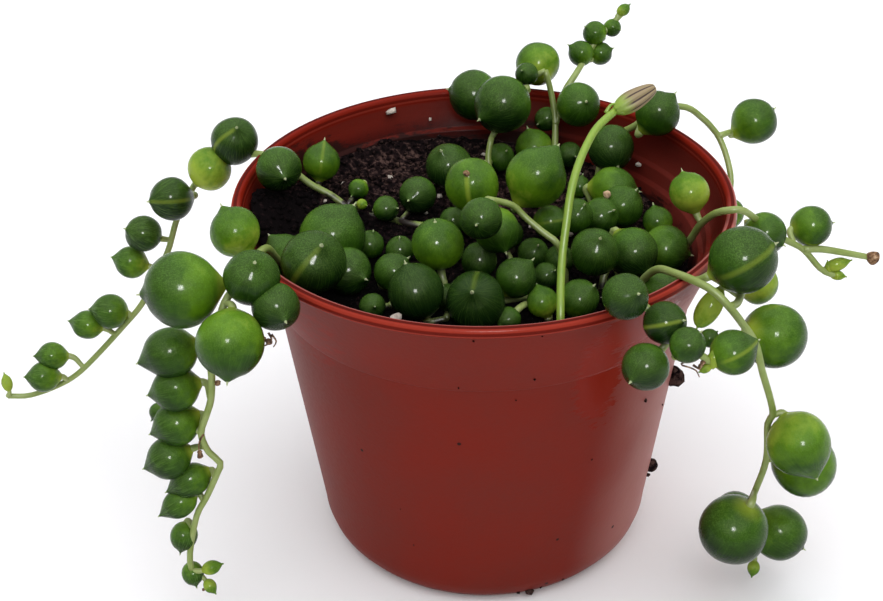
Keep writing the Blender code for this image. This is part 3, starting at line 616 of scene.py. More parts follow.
class LeafSettings(PropertyGroup):
    sides: IntProperty(
        name="Sides", description="Flat strips round a large leaf", default=32, min=8, max=96
    )
    dark: colour_property("Dark leaf", "Skin of the oldest leaves", "#10270A")
    middle: colour_property("Green leaf", "Skin of most leaves", "#28490B")
    light: colour_property("Light leaf", "Skin of young leaves", "#557A12")
    pale: colour_property("Translucent leaf", "Clear window and neck of a leaf", "#93A636")
    # The bloom colour is also laid on the leaves' tops as painted sheen.
    bloom_and_painted_sheen: colour_property("Waxy bloom", "Thin pale wax on the skin", "#7BA646")
    point: colour_property("Leaf point", "Dry point of a leaf", "#B4BC90")
    stem: colour_property("Stem", "Skin of the creeping stems", "#7F9144")
    dry: colour_property("Dry tissue", "Withered points and heads", "#7B5836")


class FlowerSettings(PropertyGroup):
    stalk: colour_property("Flower stalk", "Skin of the flower stalk", "#8AA53C")
    bract: colour_property("Bract", "Tan back of the closed bracts", "#94825F")
    seam: colour_property("Seam", "Dark seams between the bracts", "#3E2A22")


class StageSettings(PropertyGroup):
    floor: colour_property("Floor", "Pale matte floor", "#FAFAFA")
    walls: FloatProperty(
        name="Wall light", description="Strength of the low light all round", default=0.2, min=0
    )
    ceiling: FloatProperty(
        name="Ceiling light", description="Strength of the light from above", default=1.45, min=0
    )
    key: FloatProperty(
        name="Overhead light",
        description="Power of the soft light overhead",
        default=5.0,
        min=0,
        unit="POWER",
    )
    window: FloatProperty(
        name="Window light",
        description="Power of the small window that gives the leaves their glint",
        default=3.8,
        min=0,
        unit="POWER",
    )


def between(value, start, end):
    """How far a value has come from one limit to another, as a share kept between 0 and 1."""
    return min(1.0, max(0.0, (value - start) / (end - start)))


def soil_height(x, y):
    """Height of the soil's plain slope."""
    return SOIL_MIDDLE + SOIL_SLOPE_X * x + SOIL_SLOPE_Y * y


def soil_surface(x, y):
    """Height of the finished soil: clods and hollows, a mound at the left wall and a low bank
    along the back wall."""
    place = Vector((x, y, 0.0))
    clods = sum(height * noise.noise(place / width) for height, width in CLODS)
    away_x = (x - MOUND_MIDDLE[0]) / MOUND_SIZE[0]
    away_y = (y - MOUND_MIDDLE[1]) / MOUND_SIZE[1]
    mound = MOUND_HEIGHT * math.exp(-(away_x**2) - away_y**2)
    bank = BANK_HEIGHT * between(y, *BANK_Y) * between(math.hypot(x, y), *BANK_RADIUS)
    return soil_height(x, y) + clods + mound + bank


def soil_reach(height):
    """How far out the soil reaches at a height: just short of the pot's sloping inside."""
    return SOIL_EDGE_RADIUS + SOIL_SPREAD * max(0.0, height - SOIL_SPREAD_FROM)


def smooth_route(points, step):
    """Points about a step apart on a smooth curve through the given ones."""
    points = [Vector(point) for point in points]
    ends = [points[0] * 2 - points[1], *points, points[-1] * 2 - points[-2]]
    route = [points[0]]
    for before, start, end, after in zip(ends, ends[1:], ends[2:], ends[3:]):
        pieces = max(2, round((end - start).length / step))
        first_handle = start + (end - before) / 6
        second_handle = end - (after - start) / 6
        route += interpolate_bezier(start, first_handle, second_handle, end, pieces + 1)[1:]
    return route


def finished(name, shape, materials):
    """Makes a piece of a bmesh in millimetres: shaded smooth, and placed through its mesh."""
    bmesh.ops.scale(shape, vec=(MM, MM, MM), verts=shape.verts)
    mesh = bpy.data.meshes.new(name)
    shape.to_mesh(mesh)
    shape.free()
    mesh.shade_smooth()
    piece = bpy.data.objects.new(name, mesh)
    bpy.context.scene.collection.objects.link(piece)
    for material in materials:
        mesh.materials.append(material)
    return piece


def joined(name, pieces):
    """Joins pieces into the first one, which takes the name."""
    with bpy.context.temp_override(
        active_object=pieces[0], selected_editable_objects=pieces, selected_objects=pieces
    ):
        bpy.ops.object.join()
    pieces[0].name = pieces[0].data.name = name
    return pieces[0]


def marked(shape, tone=0.0, clear=0.0, seed=0.0):
    """Gives every vertex of a bmesh its place on the leaf or bud, and its tint: the tone, the
    window's clearness and the leaf's own number for its noise."""
    place = shape.verts.layers.float_vector.new("leaf_place")
    tint = shape.verts.layers.float_vector.new("leaf_tint")
    for vertex in shape.verts:
        vertex[place] = vertex.co
        vertex[tint] = (tone, clear, seed)
    return tint


def soiled(place):
    """The share of peat on a stem: all of it at the soil, none a little above it."""
    if math.hypot(place.x, place.y) > SOIL_EDGE_RADIUS:
        return 0.0
    return between(place.z - soil_surface(place.x, place.y), *SOILED)


def turned(shape, outline, sides):
    """Spins an outline of (radius, height) round the Z axis into a closed skin."""
    rim = [shape.verts.new((radius, 0.0, height)) for radius, height in outline]
    edges = [shape.edges.new(pair) for pair in zip(rim, rim[1:])]
    bmesh.ops.spin(
        shape,
        geom=rim + edges,
        cent=(0, 0, 0),
        axis=(0, 0, 1),
        angle=2 * math.pi,
        steps=sides,
        use_merge=True,
    )
    bmesh.ops.remove_doubles(shape, verts=shape.verts, dist=WELD)
    bmesh.ops.recalc_face_normals(shape, faces=shape.faces)


def tapering(route, first, last):
    """A radius for each point of a route, from the first one to the last one."""
    return [first + (last - first) * i / (len(route) - 1) for i in range(len(route))]


def tube(route, radii, sides, tone=0.0):
    """A closed tube along a route of points, with a radius for each of them. Its tint holds its
    tone and the peat that sticks to it."""
    shape = bmesh.new()
    ahead = (route[1] - route[0]).normalized()
    turn = ahead.to_track_quat("Z", "Y").to_matrix()
    places = []
    for i, (point, radius) in enumerate(zip(route, radii)):
        before, after = route[max(i - 1, 0)], route[min(i + 1, len(route) - 1)]
        tangent = (after - before).normalized()
        turn = ahead.rotation_difference(tangent).to_matrix() @ turn
        ahead = tangent
        places.append(Matrix.Translation(point) @ turn.to_4x4() @ Matrix.Scale(radius, 4))
    bmesh.ops.create_circle(shape, cap_ends=True, segments=sides, radius=1.0, matrix=places[0])
    edges = list(shape.edges)
    for before, after in zip(places, places[1:]):
        made = bmesh.ops.extrude_edge_only(shape, edges=edges)["geom"]
        edges = [item for item in made if isinstance(item, bmesh.types.BMEdge)]
        rim = [item for item in made if isinstance(item, bmesh.types.BMVert)]
        bmesh.ops.transform(shape, matrix=after @ before.inverted(), verts=rim)
    bmesh.ops.edgeloop_fill(shape, edges=edges)
    bmesh.ops.recalc_face_normals(shape, faces=shape.faces)
    tint = marked(shape)
    for vertex in shape.verts:
        vertex[tint] = (tone, soiled(vertex.co), 0.0)
    return shape


def neck_place(neck_reach, neck):
    """How far from the leaf's middle its neck has narrowed to its stalk, in leaf radii."""
    return neck_reach - neck * math.tan(math.acos(1 / neck_reach))


def leaf_outline(reach, radius, neck_reach, neck, rings):
    """A leaf's outline in leaf radii: a ball that runs out into a cone at its neck and at its
    point, which ends in a thin dry spike."""
    point_turn = math.acos(1 / reach)
    neck_turn = math.acos(1 / neck_reach)
    neck_slope = 1 / math.tan(neck_turn)
    neck_end = neck_place(neck_reach, neck)
    outline = [(neck * 0.85, -neck_end - 0.02)]
    for share in (0.0, 0.3, 0.65):
        along = neck_end + share * (math.cos(neck_turn) - neck_end)
        outline.append(((neck_reach - along) * neck_slope, -along))
    for i in range(rings + 1):
        angle = math.pi - neck_turn - (math.pi - neck_turn - point_turn) * i / rings
        outline.append((math.sin(angle), math.cos(angle)))
    slope = 1 / math.tan(point_turn)
    for share in (0.25, 0.45, 0.65, 0.82):
        along = math.cos(point_turn) + share * (reach - math.cos(point_turn))
        # The cone's sides are hollow, least on a long point.
        hollow = 1 - max(0.08, 1.3 - 9 * (reach - BLUNT_REACH)) * share * (1 - share)
        outline.append(((reach - along) * slope * hollow, along))
    spike = min(0.2, 0.42 / radius) * (0.5 if reach > LONG_REACH else 1.0)
    outline += [
        (0.13 / radius, reach - 0.02),
        (0.09 / radius, reach + 0.4 * spike),
        (0.0, reach + spike),
    ]
    return outline


def leaf_body(leaf, centre, axis, window, neck_reach, neck, settings, seed):
    """The swollen part of a leaf, from its neck to its point."""
    radius = leaf.width / 2
    large = leaf.width >= LARGE_LEAF
    sides = settings.sides if large else settings.sides * 3 // 4
    shape = bmesh.new()
    outline = leaf_outline(leaf.reach, radius, neck_reach, neck, 20 if large else 14)
    turned(shape, outline, sides)
    bmesh.ops.holes_fill(shape, edges=shape.edges, sides=sides)
    bmesh.ops.recalc_face_normals(shape, faces=shape.faces)
    clear = leaf.window[3] if leaf.window else 0.0
    marked(shape, leaf.tone, clear, seed)
    # The round part is a little uneven.
    for vertex in shape.verts:
        place = vertex.co.copy()
        swell = 0.05 * noise.noise(place * 0.9 + Vector((seed, 0, 0)))
        vertex.co = place * (1 + swell * between(abs(place.z), 1.1, 0.8))
    side = window - axis * window.dot(axis)
    side.normalize()
    turn = Matrix((side, axis.cross(side), axis)).transposed().to_4x4()
    size = Matrix.Diagonal((radius, radius, radius * leaf.stretch, 1))
    bmesh.ops.transform(
        shape, matrix=Matrix.Translation(centre) @ turn @ size, verts=shape.verts
    )
    return shape


def rest_on_soil(leaf):
    """The middle of a leaf, raised where it would sink into the soil."""
    height = leaf.z
    if math.hypot(leaf.x, leaf.y) <= SOIL_EDGE_RADIUS:
        height = max(height, soil_height(leaf.x, leaf.y) + leaf.width / 2 + SOIL_CLEARANCE)
    return Vector((leaf.x, leaf.y, height))


def stem_route(root, route):
    """A main stem's route, led out of the soil from 2 mm under its top."""
    x, y = root
    return [(x, y, soil_height(x, y) - 2), (x, y, soil_height(x, y) + 0.5), *route]


def add_leaf(name, leaf, stems, index, skins, settings):
    """One leaf, and the stalk that holds it on the nearest stem where they don't touch."""
    centre = rest_on_soil(leaf)
    radius = leaf.width / 2
    points = [point for stem in stems for point in stem]
    away = centre - min(points, key=lambda point: (point - centre).length)
    axis = seen(*leaf.point) if leaf.point else away.normalized()
    # A leaf that sits close on its stem has a blunt neck.
    neck_reach = BLUNT_REACH if away.length < 1.15 * radius else 1.24
    neck = min(0.34, 0.42 / radius + 0.05)
    neck_end = centre - axis * radius * leaf.stretch * neck_place(neck_reach, neck)
    window = seen(*leaf.window[:3]) if leaf.window else Vector((0.3, 0.2, 1.0))
    if abs(window.normalized().dot(axis)) > 0.95:
        window = Vector((1.0, 0.3, 0.0))
    seed = index * 1.37
    shape = leaf_body(leaf, centre, axis, window, neck_reach, neck, settings, seed)
    parts = [finished(f"{name}_leaf_{index}", shape, skins)]
    foot = min(points, key=lambda point: (point - neck_end).length)
    gap = neck_end - foot
    if gap.length > 0.2:
        bend = gap.length * 0.42
        route = interpolate_bezier(
            foot,
            foot + gap.normalized() * bend,
            neck_end - axis * bend,
            neck_end + axis * 0.3,
            9,
        )
        swell = neck * radius - STALK_RADIUS
        radii = [STALK_RADIUS + swell * (i / 8) ** 2 for i in range(9)]
        stalk = tube([Vector(point) for point in route], radii, 10, STALK_TONE)
        for face in stalk.faces:
            face.material_index = 1
        parts.append(finished(f"{name}_stalk_{index}", stalk, skins))
    return parts


def waxy_leaf_skin(settings):
    """Living leaf under a waxy cuticle. Light enters it, so the neck and window glow yellow
    green, and the wax gives a soft gloss and a thin grey bloom with fine lines from the point. The
    bloom is laid thickest on top as painted sheen, and the downward side is darkened as painted
    shade."""
    material, tree, shader = new_material("waxy_leaf_skin")
    place = add_node(tree, "ShaderNodeAttribute", attribute_name="leaf_place")["Vector"]
    tint = add_node(tree, "ShaderNodeAttribute", attribute_name="leaf_tint")["Vector"]
    across, aside, along = add_node(tree, "ShaderNodeSeparateXYZ", [place])
    tone, clear, seed = add_node(tree, "ShaderNodeSeparateXYZ", [tint])
    shift = add_node(tree, "ShaderNodeCombineXYZ", [seed, seed])[0]
    moved = add_node(tree, "ShaderNodeVectorMath", [place, shift], operation="ADD")[0]
    # Places on a leaf are in its radii, so a grain has its size in mm on a large leaf.
    clouds = {"Vector": moved, "Scale": LARGE_LEAF_RADIUS / 2.6, "Detail": 5.0, "Roughness": 0.65}
    clouds = add_node(tree, "ShaderNodeTexNoise", clouds)[0]
    upward = facing_up(tree)
    # A leaf is youngest and palest at its neck, and its downward side is darkened as painted shade.
    lightness = add_node(tree, "ShaderNodeMath", [clouds, 0.8, tone], operation="MULTIPLY_ADD")[0]
    # The second edge is the painted shade on the downward side.
    for edge in ((along, 0.9, -1.0, -0.59, -0.09), (upward, 0.0, -0.9, 0.0, -0.2)):
        terms = [lightness, faded(tree, edge)]
        lightness = add_node(tree, "ShaderNodeMath", terms, operation="ADD")[0]
    tones = (settings.dark, settings.middle, settings.light, settings.pale)
    stops = zip((0.0, 0.35, 0.7, 1.0), tones)
    body = add_node(tree, "ShaderNodeValToRGB", [lightness], stops)[0]

    # Fine pale lines that fan out from the point: about 0.2 mm wide on a large leaf. The turn
    # round the axis counts 13 times as much as the place, which draws the noise into lines. Some
    # leaves show them and others hardly do.
    off_axis = add_node(tree, "ShaderNodeVectorMath", [place, (1, 1, 0)], operation="MULTIPLY")[0]
    fan = add_node(tree, "ShaderNodeVectorMath", [off_axis], operation="NORMALIZE")[0]
    fan = [fan, (13, 13, 13), moved]
    fan = add_node(tree, "ShaderNodeVectorMath", fan, operation="MULTIPLY_ADD")[0]
    lines = {"Vector": fan, "Scale": LARGE_LEAF_RADIUS / 2.6, "Detail": 4.0, "Roughness": 0.7}
    lines = add_node(tree, "ShaderNodeTexNoise", lines)[0]
    chance = add_node(tree, "ShaderNodeMath", [seed, 0.77], operation="MULTIPLY")[0]
    chance = add_node(tree, "ShaderNodeMath", [chance], operation="FRACT")[0]
    lines = faded(
        tree, (lines, 0.47, 0.66), (along, -0.6, 1.0, 0.15, 1.0), (chance, 0.2, 0.8, 0.2, 1.0)
    )
    line_wax = add_node(tree, "ShaderNodeMath", [lines, 0.52], operation="MULTIPLY")[0]

    # The wax bloom is laid thickest on the upward-facing top of the leaf, in fine grains: real wax
    # with painted sheen that stands in for the soft reflection of the bright ceiling.
    pores = {"Vector": moved, "Scale": LARGE_LEAF_RADIUS / 0.15, "Detail": 3.0, "Roughness": 0.7}
    pores = add_node(tree, "ShaderNodeTexNoise", pores)[0]
    grains = [faded(tree, (pores, 0.42, 0.68, 0.0, 0.5)), clouds, 0.12]
    grains = add_node(tree, "ShaderNodeMath", grains, operation="MULTIPLY_ADD")[0]
    painted_sheen_on_top = faded(tree, (upward, -0.2, 0.8), (tone, -0.4, 0.2, 0.3, 1.0))
    wax_and_painted_sheen = add_node(tree, "ShaderNodeMath", [grains, painted_sheen_on_top], operation="MULTIPLY")[0]

    # The clear window is a narrow strip from the point down one side.
    aside = add_node(tree, "ShaderNodeMath", [aside], operation="ABSOLUTE")[0]
    strip = faded(tree, (aside, 0.14, 0.02), (across, 0.02, 0.2), (along, -0.9, -0.3))
    window = add_node(tree, "ShaderNodeMath", [strip, clear], operation="MULTIPLY")[0]

    # Only the thin spike is dry: on a large leaf it stands within 0.05 of a radius of the axis.
    off_axis = add_node(tree, "ShaderNodeVectorMath", [off_axis], operation="LENGTH")[1]
    layers = [
        (line_wax, settings.bloom_and_painted_sheen),
        (wax_and_painted_sheen, settings.bloom_and_painted_sheen),
        (window, settings.pale),
        (faded(tree, (along, -0.82, -1.12)), settings.pale),
        (faded(tree, (off_axis, 0.08, 0.04), (along, 0.8, 0.9)), settings.point),
    ]
    uneven = add_node(tree, "ShaderNodeMath", [clouds, 2.0, pores], operation="MULTIPLY_ADD")[0]
    uneven = add_node(tree, "ShaderNodeMath", [lines, 0.8, uneven], operation="MULTIPLY_ADD")[0]
    bump = {"Height": uneven, "Distance": 0.1 * MM, "Strength": 0.6}
    inputs = {
        "Base Color": laid_over(tree, body, layers),
        "Roughness": faded(tree, (lines, 0.0, 1.0, 0.2, 0.4)),
        "Normal": add_node(tree, "ShaderNodeBump", bump)[0],
        "IOR": 1.42,
        "Specular IOR Level": 0.1,
        "Specular Tint": linear("#D2E4A8"),
        "Coat Weight": 0.12,
        "Coat Roughness": 0.13,
        "Subsurface Weight": 0.12,
        "Subsurface Radius": (0.5, 1.0, 0.2),
        "Subsurface Scale": 1.0 * MM,
    }
    fill_inputs(tree, shader, inputs)
    return material


def young_stem_skin(settings):
    """Living stem: matte and slightly translucent, with a faint mottle, fine bumps and peat
    stuck to it where it leaves the soil."""
    material, tree, shader = new_material("young_stem_skin")
    tint = add_node(tree, "ShaderNodeAttribute", attribute_name="leaf_tint")["Vector"]
    tone, peat = add_node(tree, "ShaderNodeSeparateXYZ", [tint])[:2]
    place = place_in_mm(tree)
    mottle = {"Vector": place, "Scale": 1 / 2.5, "Detail": 3.0}
    mottle = add_node(tree, "ShaderNodeTexNoise", mottle)[0]
    shade = add_node(tree, "ShaderNodeMath", [tone, 0.25], operation="SUBTRACT")[0]
    shade = add_node(tree, "ShaderNodeMath", [mottle, 0.5, shade], operation="MULTIPLY_ADD")[0]
    stops = [(0.1, linear("#4E5C2A")), (0.5, settings.stem), (0.95, linear("#A6B274"))]
    skin = add_node(tree, "ShaderNodeValToRGB", [shade], stops)[0]
    stuck = add_node(tree, "ShaderNodeMath", [mottle, 1.6, -1.3], operation="MULTIPLY_ADD")[0]
    stuck = add_node(tree, "ShaderNodeMath", [peat, stuck], operation="ADD")[0]
    stuck = faded(tree, (stuck, 0.2, 0.6), (peat, 0.0, 0.2))
    grain = {"Vector": place, "Scale": 1 / 0.4, "Detail": 2.0}
    grain = add_node(tree, "ShaderNodeTexNoise", grain)[0]
    bump = {"Height": grain, "Distance": 0.05 * MM, "Strength": 0.4}
    inputs = {
        "Base Color": laid_over(tree, skin, [(stuck, linear("#241A12"))]),
        "Normal": add_node(tree, "ShaderNodeBump", bump)[0],
        "Roughness": 0.45,
        "IOR": 1.4,
        "Subsurface Weight": 0.1,
        "Subsurface Radius": (0.6, 1.0, 0.3),
        "Subsurface Scale": 0.5 * MM,
    }
    fill_inputs(tree, shader, inputs)
    return material


def dry_leaf_tissue(settings):
    """Withered leaf and flower tissue: matte, papery, brown with darker folds. A fresh scar is
    cream-coloured, and tissue that withered long ago is brown."""
    material, tree, shader = new_material("dry_leaf_tissue")
    folds = {"Vector": place_in_mm(tree), "Scale": 1 / 0.5, "Detail": 4.0}
    folds = add_node(tree, "ShaderNodeTexNoise", folds)[0]
    tint = add_node(tree, "ShaderNodeAttribute", attribute_name="leaf_tint")["Vector"]
    fresh = add_node(tree, "ShaderNodeSeparateXYZ", [tint])[0]
    shade = add_node(tree, "ShaderNodeMath", [fresh, 0.3, folds], operation="MULTIPLY_ADD")[0]
    stops = [(0.35, linear("#3A241A")), (0.52, settings.dry), (0.75, linear("#C7A684"))]
    inputs = {
        "Base Color": add_node(tree, "ShaderNodeValToRGB", [shade], stops)[0],
        "Normal": add_node(tree, "ShaderNodeBump", {"Height": folds, "Distance": 0.1 * MM})[0],
        "Roughness": 0.85,
        "IOR": 1.4,
    }
    fill_inputs(tree, shader, inputs)
    return material


# What the pot's finishes share, in millimetres: a place on it and its distance from the axis,
# how far the surface faces up, whether it is inside the wall, and noise in slow clouds, in fine
# grains and in ragged runs.
PotSurface = namedtuple("PotSurface", "place x y z radius upward inside clouds fine ragged")


def pot_surface(tree):
    """The places and noises of the pot."""
    place = place_in_mm(tree)
    x, y, z = add_node(tree, "ShaderNodeSeparateXYZ", [place])
    level = add_node(tree, "ShaderNodeVectorMath", [place, (1, 1, 0)], operation="MULTIPLY")[0]
    radius = add_node(tree, "ShaderNodeVectorMath", [level], operation="LENGTH")[1]
    clouds = {"Vector": place, "Scale": 1 / 14, "Detail": 4.0}
    fine = {"Vector": place, "Scale": 1 / 0.6, "Detail": 3.0}
    drawn = {"Vector": place, "Scale": (1.0, 1.0, 4.0)}
    drawn = add_node(tree, "ShaderNodeMapping", drawn)[0]
    ragged = {"Vector": drawn, "Scale": 1 / 3.2, "Detail": 6.0, "Roughness": 0.75}
    # Less the collar's slope, the radius is smaller on the wall's inside than on its outside.
    across = [z, -COLLAR_SLOPE, radius]
    across = add_node(tree, "ShaderNodeMath", across, operation="MULTIPLY_ADD")[0]
    return PotSurface(
        place,
        x,
        y,
        z,
        radius,
        facing_up(tree),
        faded(tree, (across, 14.1, 13.7), (z, 30, 40)),
        *[add_node(tree, "ShaderNodeTexNoise", noises)[0] for noises in (clouds, fine, ragged)],
    )


def patch(tree, surface, middle, size):
    """How far a place lies from a patch's middle, seen from the front, as a share of the patch's
    ragged size."""
    place = add_node(tree, "ShaderNodeCombineXYZ", [surface.x, surface.z])[0]
    away = {"Vector": place, "Location": (*middle, 0.0), "Scale": (*size, 1.0)}
    away = add_node(tree, "ShaderNodeMapping", away, vector_type="TEXTURE")[0]
    away = add_node(tree, "ShaderNodeVectorMath", [away], operation="LENGTH")[1]
    away = add_node(tree, "ShaderNodeMath", [away, RAGGED / 2], operation="SUBTRACT")[0]
    away = [surface.ragged, RAGGED, away]
    return add_node(tree, "ShaderNodeMath", away, operation="MULTIPLY_ADD")[0]


def wet_and_worn(tree, surface):
    """Wet patches below the rim at the front right, and places where the film is worn: thin
    streaks at the front left and grains at the right."""
    front = (surface.y, 0, -4)
    run = patch(tree, surface, (14.9, 41.8), (3.2, 8.0))
    pool = patch(tree, surface, (19.5, 50.0), (5.0, 4.5))
    near = add_node(tree, "ShaderNodeMath", [run, pool], operation="MINIMUM")[0]
    left = patch(tree, surface, (-22.5, 45.5), (5.5, 8.5))
    right = patch(tree, surface, (31.0, 50.5), (5.0, 4.0))
    streaks = faded(tree, (left, 0.75, 0.55), (surface.ragged, 0.5, 0.46), front)
    grains = faded(tree, (right, 1.06, 0.94), (surface.fine, 0.4, 0.55), front)
    worn = add_node(tree, "ShaderNodeMath", [streaks, grains], operation="MAXIMUM")[0]
    return faded(tree, (near, 1.06, 0.94), front), worn


def lime_dust_and_painted_sheen(tree, surface, dry):
    """Pale lime film with painted sheen, laid thickest on the right of the wall where it stands in
    for the pale room's reflection at the wall's grazing edge, and a thin mist of dust on the left.
    """
    lean = [surface.z, -0.12, surface.x]
    lean = add_node(tree, "ShaderNodeMath", lean, operation="MULTIPLY_ADD")[0]
    right = faded(
        tree,
        (lean, 10.5, 24.5),
        (surface.z, 57, 43),
        (surface.clouds, 0.2, 0.7, 0.55, 0.95),
        (surface.y, -3, 18, 1.0, 0.35),
        (surface.inside, 0.0, 1.0, 1.0, 0.2),
    )
    left = faded(
        tree, (surface.x, -15, -30), (surface.fine, 0.2, 0.8), (surface.z, 49, 41, 0.0, 0.13)
    )
    haze_and_painted_sheen = add_node(tree, "ShaderNodeMath", [left, right], operation="ADD")[0]
    return add_node(tree, "ShaderNodeMath", [haze_and_painted_sheen, dry], operation="MULTIPLY")[0]


def painted_lip_light(tree, surface, settings):
    """The lip from its top to its foot, in painted light: painted shade in the groove, a painted
    highlight along the outer edge with a painted shaded line and a second painted highlight line
    under it, a pale painted glint on the inner edge at the front, and painted sheen at the right."""
    radius, y, z = surface.radius, surface.y, surface.z
    top = (z, 54.6, 54.75)
    zones = [
        ([top, (radius, 34.05, 34.2), (radius, 34.62, 34.5, 0.0, 0.75)], settings.painted_shade),
        ([(z, 54.42, 54.58), (radius, 34.6, 34.75, 0.0, 0.75)], settings.painted_lip_highlight),
        ([(z, 54.5, 54.4), (z, 53.7, 53.85, 0.0, 0.5)], settings.painted_shade),
        ([(z, 53.72, 53.8), (z, 54.1, 54.0, 0.0, 0.65)], settings.painted_lip_highlight),
        ([top, (radius, 34.1, 34.0), (y, 0, -12, 0.0, 0.5)], settings.haze_and_painted_sheen),
        ([(z, *LIP_FOOT), (radius, 34.5, 34.8), (surface.x, 22, 33, 0.0, 0.75)], settings.haze_and_painted_sheen),
    ]
    return [(faded(tree, *edges), colour) for edges, colour in zones]


def painted_shade_inside(tree, surface):
    """How dark the inside of the wall is painted, as painted shade under the lip. The rings' flat
    tops are left lighter, as painted light.
    """
    low = faded(tree, (surface.z, 52, 49.2, 0.0, 0.58), (surface.x, 4, 20, 1.0, -0.5))
    across = faded(tree, (surface.x, 4, 22, 0.34, 0.62))
    painted_shade = add_node(tree, "ShaderNodeMath", [low, across], operation="ADD")[0]
    below_lip = faded(tree, (surface.z, 54.7, 53.6))
    painted_shade = add_node(tree, "ShaderNodeMath", [painted_shade, below_lip], operation="MULTIPLY")[0]
    painted_light_on_tops = faded(tree, (surface.upward, 0.4, 0.75, 0.92, 0.4))
    painted_shade = add_node(tree, "ShaderNodeMath", [painted_shade, painted_light_on_tops], operation="MINIMUM")[0]
    return add_node(tree, "ShaderNodeMath", [surface.inside, painted_shade], operation="MULTIPLY")[0]


def clinging_peat(tree, surface):
    """Peat that clings to the inside of the wall, up to a ragged edge that is lower at the back
    left and at the right."""
    edge = [surface.clouds, 14.0, 42.6]
    edge = add_node(tree, "ShaderNodeMath", edge, operation="MULTIPLY_ADD")[0]
    edge = [surface.ragged, 7.0, edge]
    edge = add_node(tree, "ShaderNodeMath", edge, operation="MULTIPLY_ADD")[0]
    back_left = [surface.place, (-0.75, 0.66, 0)]
    back_left = add_node(tree, "ShaderNodeVectorMath", back_left, operation="DOT_PRODUCT")[1]
    for drop in ((back_left, 20, 31, -3.5, -2.0), (surface.x, 4, 20, 0.0, -4.5)):
        terms = [edge, faded(tree, drop)]
        edge = add_node(tree, "ShaderNodeMath", terms, operation="ADD")[0]
    above = add_node(tree, "ShaderNodeMath", [surface.z, edge], operation="SUBTRACT")[0]
    share = [faded(tree, (above, 1.2, -0.4, 0.0, 0.9)), surface.inside]
    return add_node(tree, "ShaderNodeMath", share, operation="MULTIPLY")[0]


def moulded_polypropylene(settings):
    """Thin injection-moulded polypropylene, the usual nursery pot: even colour and a soft gloss.
    A dull film of dried water lies over it. Wet patches are clearer and glossier, and peat
    clings to the inside above the soil."""
    material, tree, shader = new_material("moulded_polypropylene")
    surface = pot_surface(tree)
    lip = faded(tree, (surface.z, *LIP_FOOT))
    wet, worn = wet_and_worn(tree, surface)
    bare = add_node(tree, "ShaderNodeMath", [lip, wet], operation="MAXIMUM")[0]
    clean = add_node(tree, "ShaderNodeMath", [bare, 0.75], operation="MULTIPLY")[0]
    worn = add_node(tree, "ShaderNodeMath", [worn, 0.7], operation="MULTIPLY")[0]
    clean = add_node(tree, "ShaderNodeMath", [clean, worn], operation="MAXIMUM")[0]
    dry = add_node(tree, "ShaderNodeMath", [1.0, clean], operation="SUBTRACT")[0]
    # Less film is laid at the upper left: painted shade that keeps the wall darker and clearer
    # there, against the room's reflection.
    painted_shade_upper_left = faded(tree, (surface.x, -18, -28), (surface.z, 41, 44))
    film = add_node(tree, "ShaderNodeMath", [painted_shade_upper_left, -0.35, 1.0], operation="MULTIPLY_ADD")[0]
    film = add_node(tree, "ShaderNodeMath", [film, dry], operation="MULTIPLY")[0]
    mottled = faded(
        tree, (surface.clouds, 0.25, 0.75, 0.45, 0.75), (surface.fine, 0.2, 0.8, 0.85, 1.1)
    )
    film = add_node(tree, "ShaderNodeMath", [film, mottled], operation="MULTIPLY")[0]
    # Specks of peat about 0.4 mm wide, about one to each ten square centimetres.
    cells = {"Vector": surface.place, "Scale": 1 / 5.5}
    cells = add_node(tree, "ShaderNodeTexVoronoi", cells)
    specks = faded(tree, (cells["Distance"], 0.065, 0.035), (cells["Color"], 0.62, 0.7))
    layers = [
        (film, settings.film),
        # Lime film with painted sheen at the right, and dust at the left.
        (lime_dust_and_painted_sheen(tree, surface, dry), settings.haze_and_painted_sheen),
        # The lip's painted highlights and painted shade.
        *painted_lip_light(tree, surface, settings),
        # Painted shade inside the wall.
        (painted_shade_inside(tree, surface), settings.painted_shade),
        (clinging_peat(tree, surface), settings.speck),
        (specks, settings.speck),
    ]
    # The lip and the wet patches are smoother than the filmed wall.
    rough = [bare, -0.2, settings.roughness]
    bump = {"Height": surface.fine, "Distance": 0.05 * MM, "Strength": 0.5}
    # The dry film breaks up most of the plastic's own gloss, so its level is low.
    inputs = {
        "Base Color": laid_over(tree, settings.clean, layers),
        "Roughness": add_node(tree, "ShaderNodeMath", rough, operation="MULTIPLY_ADD")[0],
        "Normal": add_node(tree, "ShaderNodeBump", bump)[0],
        "IOR": 1.49,
        "Specular IOR Level": 0.04,
    }
    fill_inputs(tree, shader, inputs)
    return material


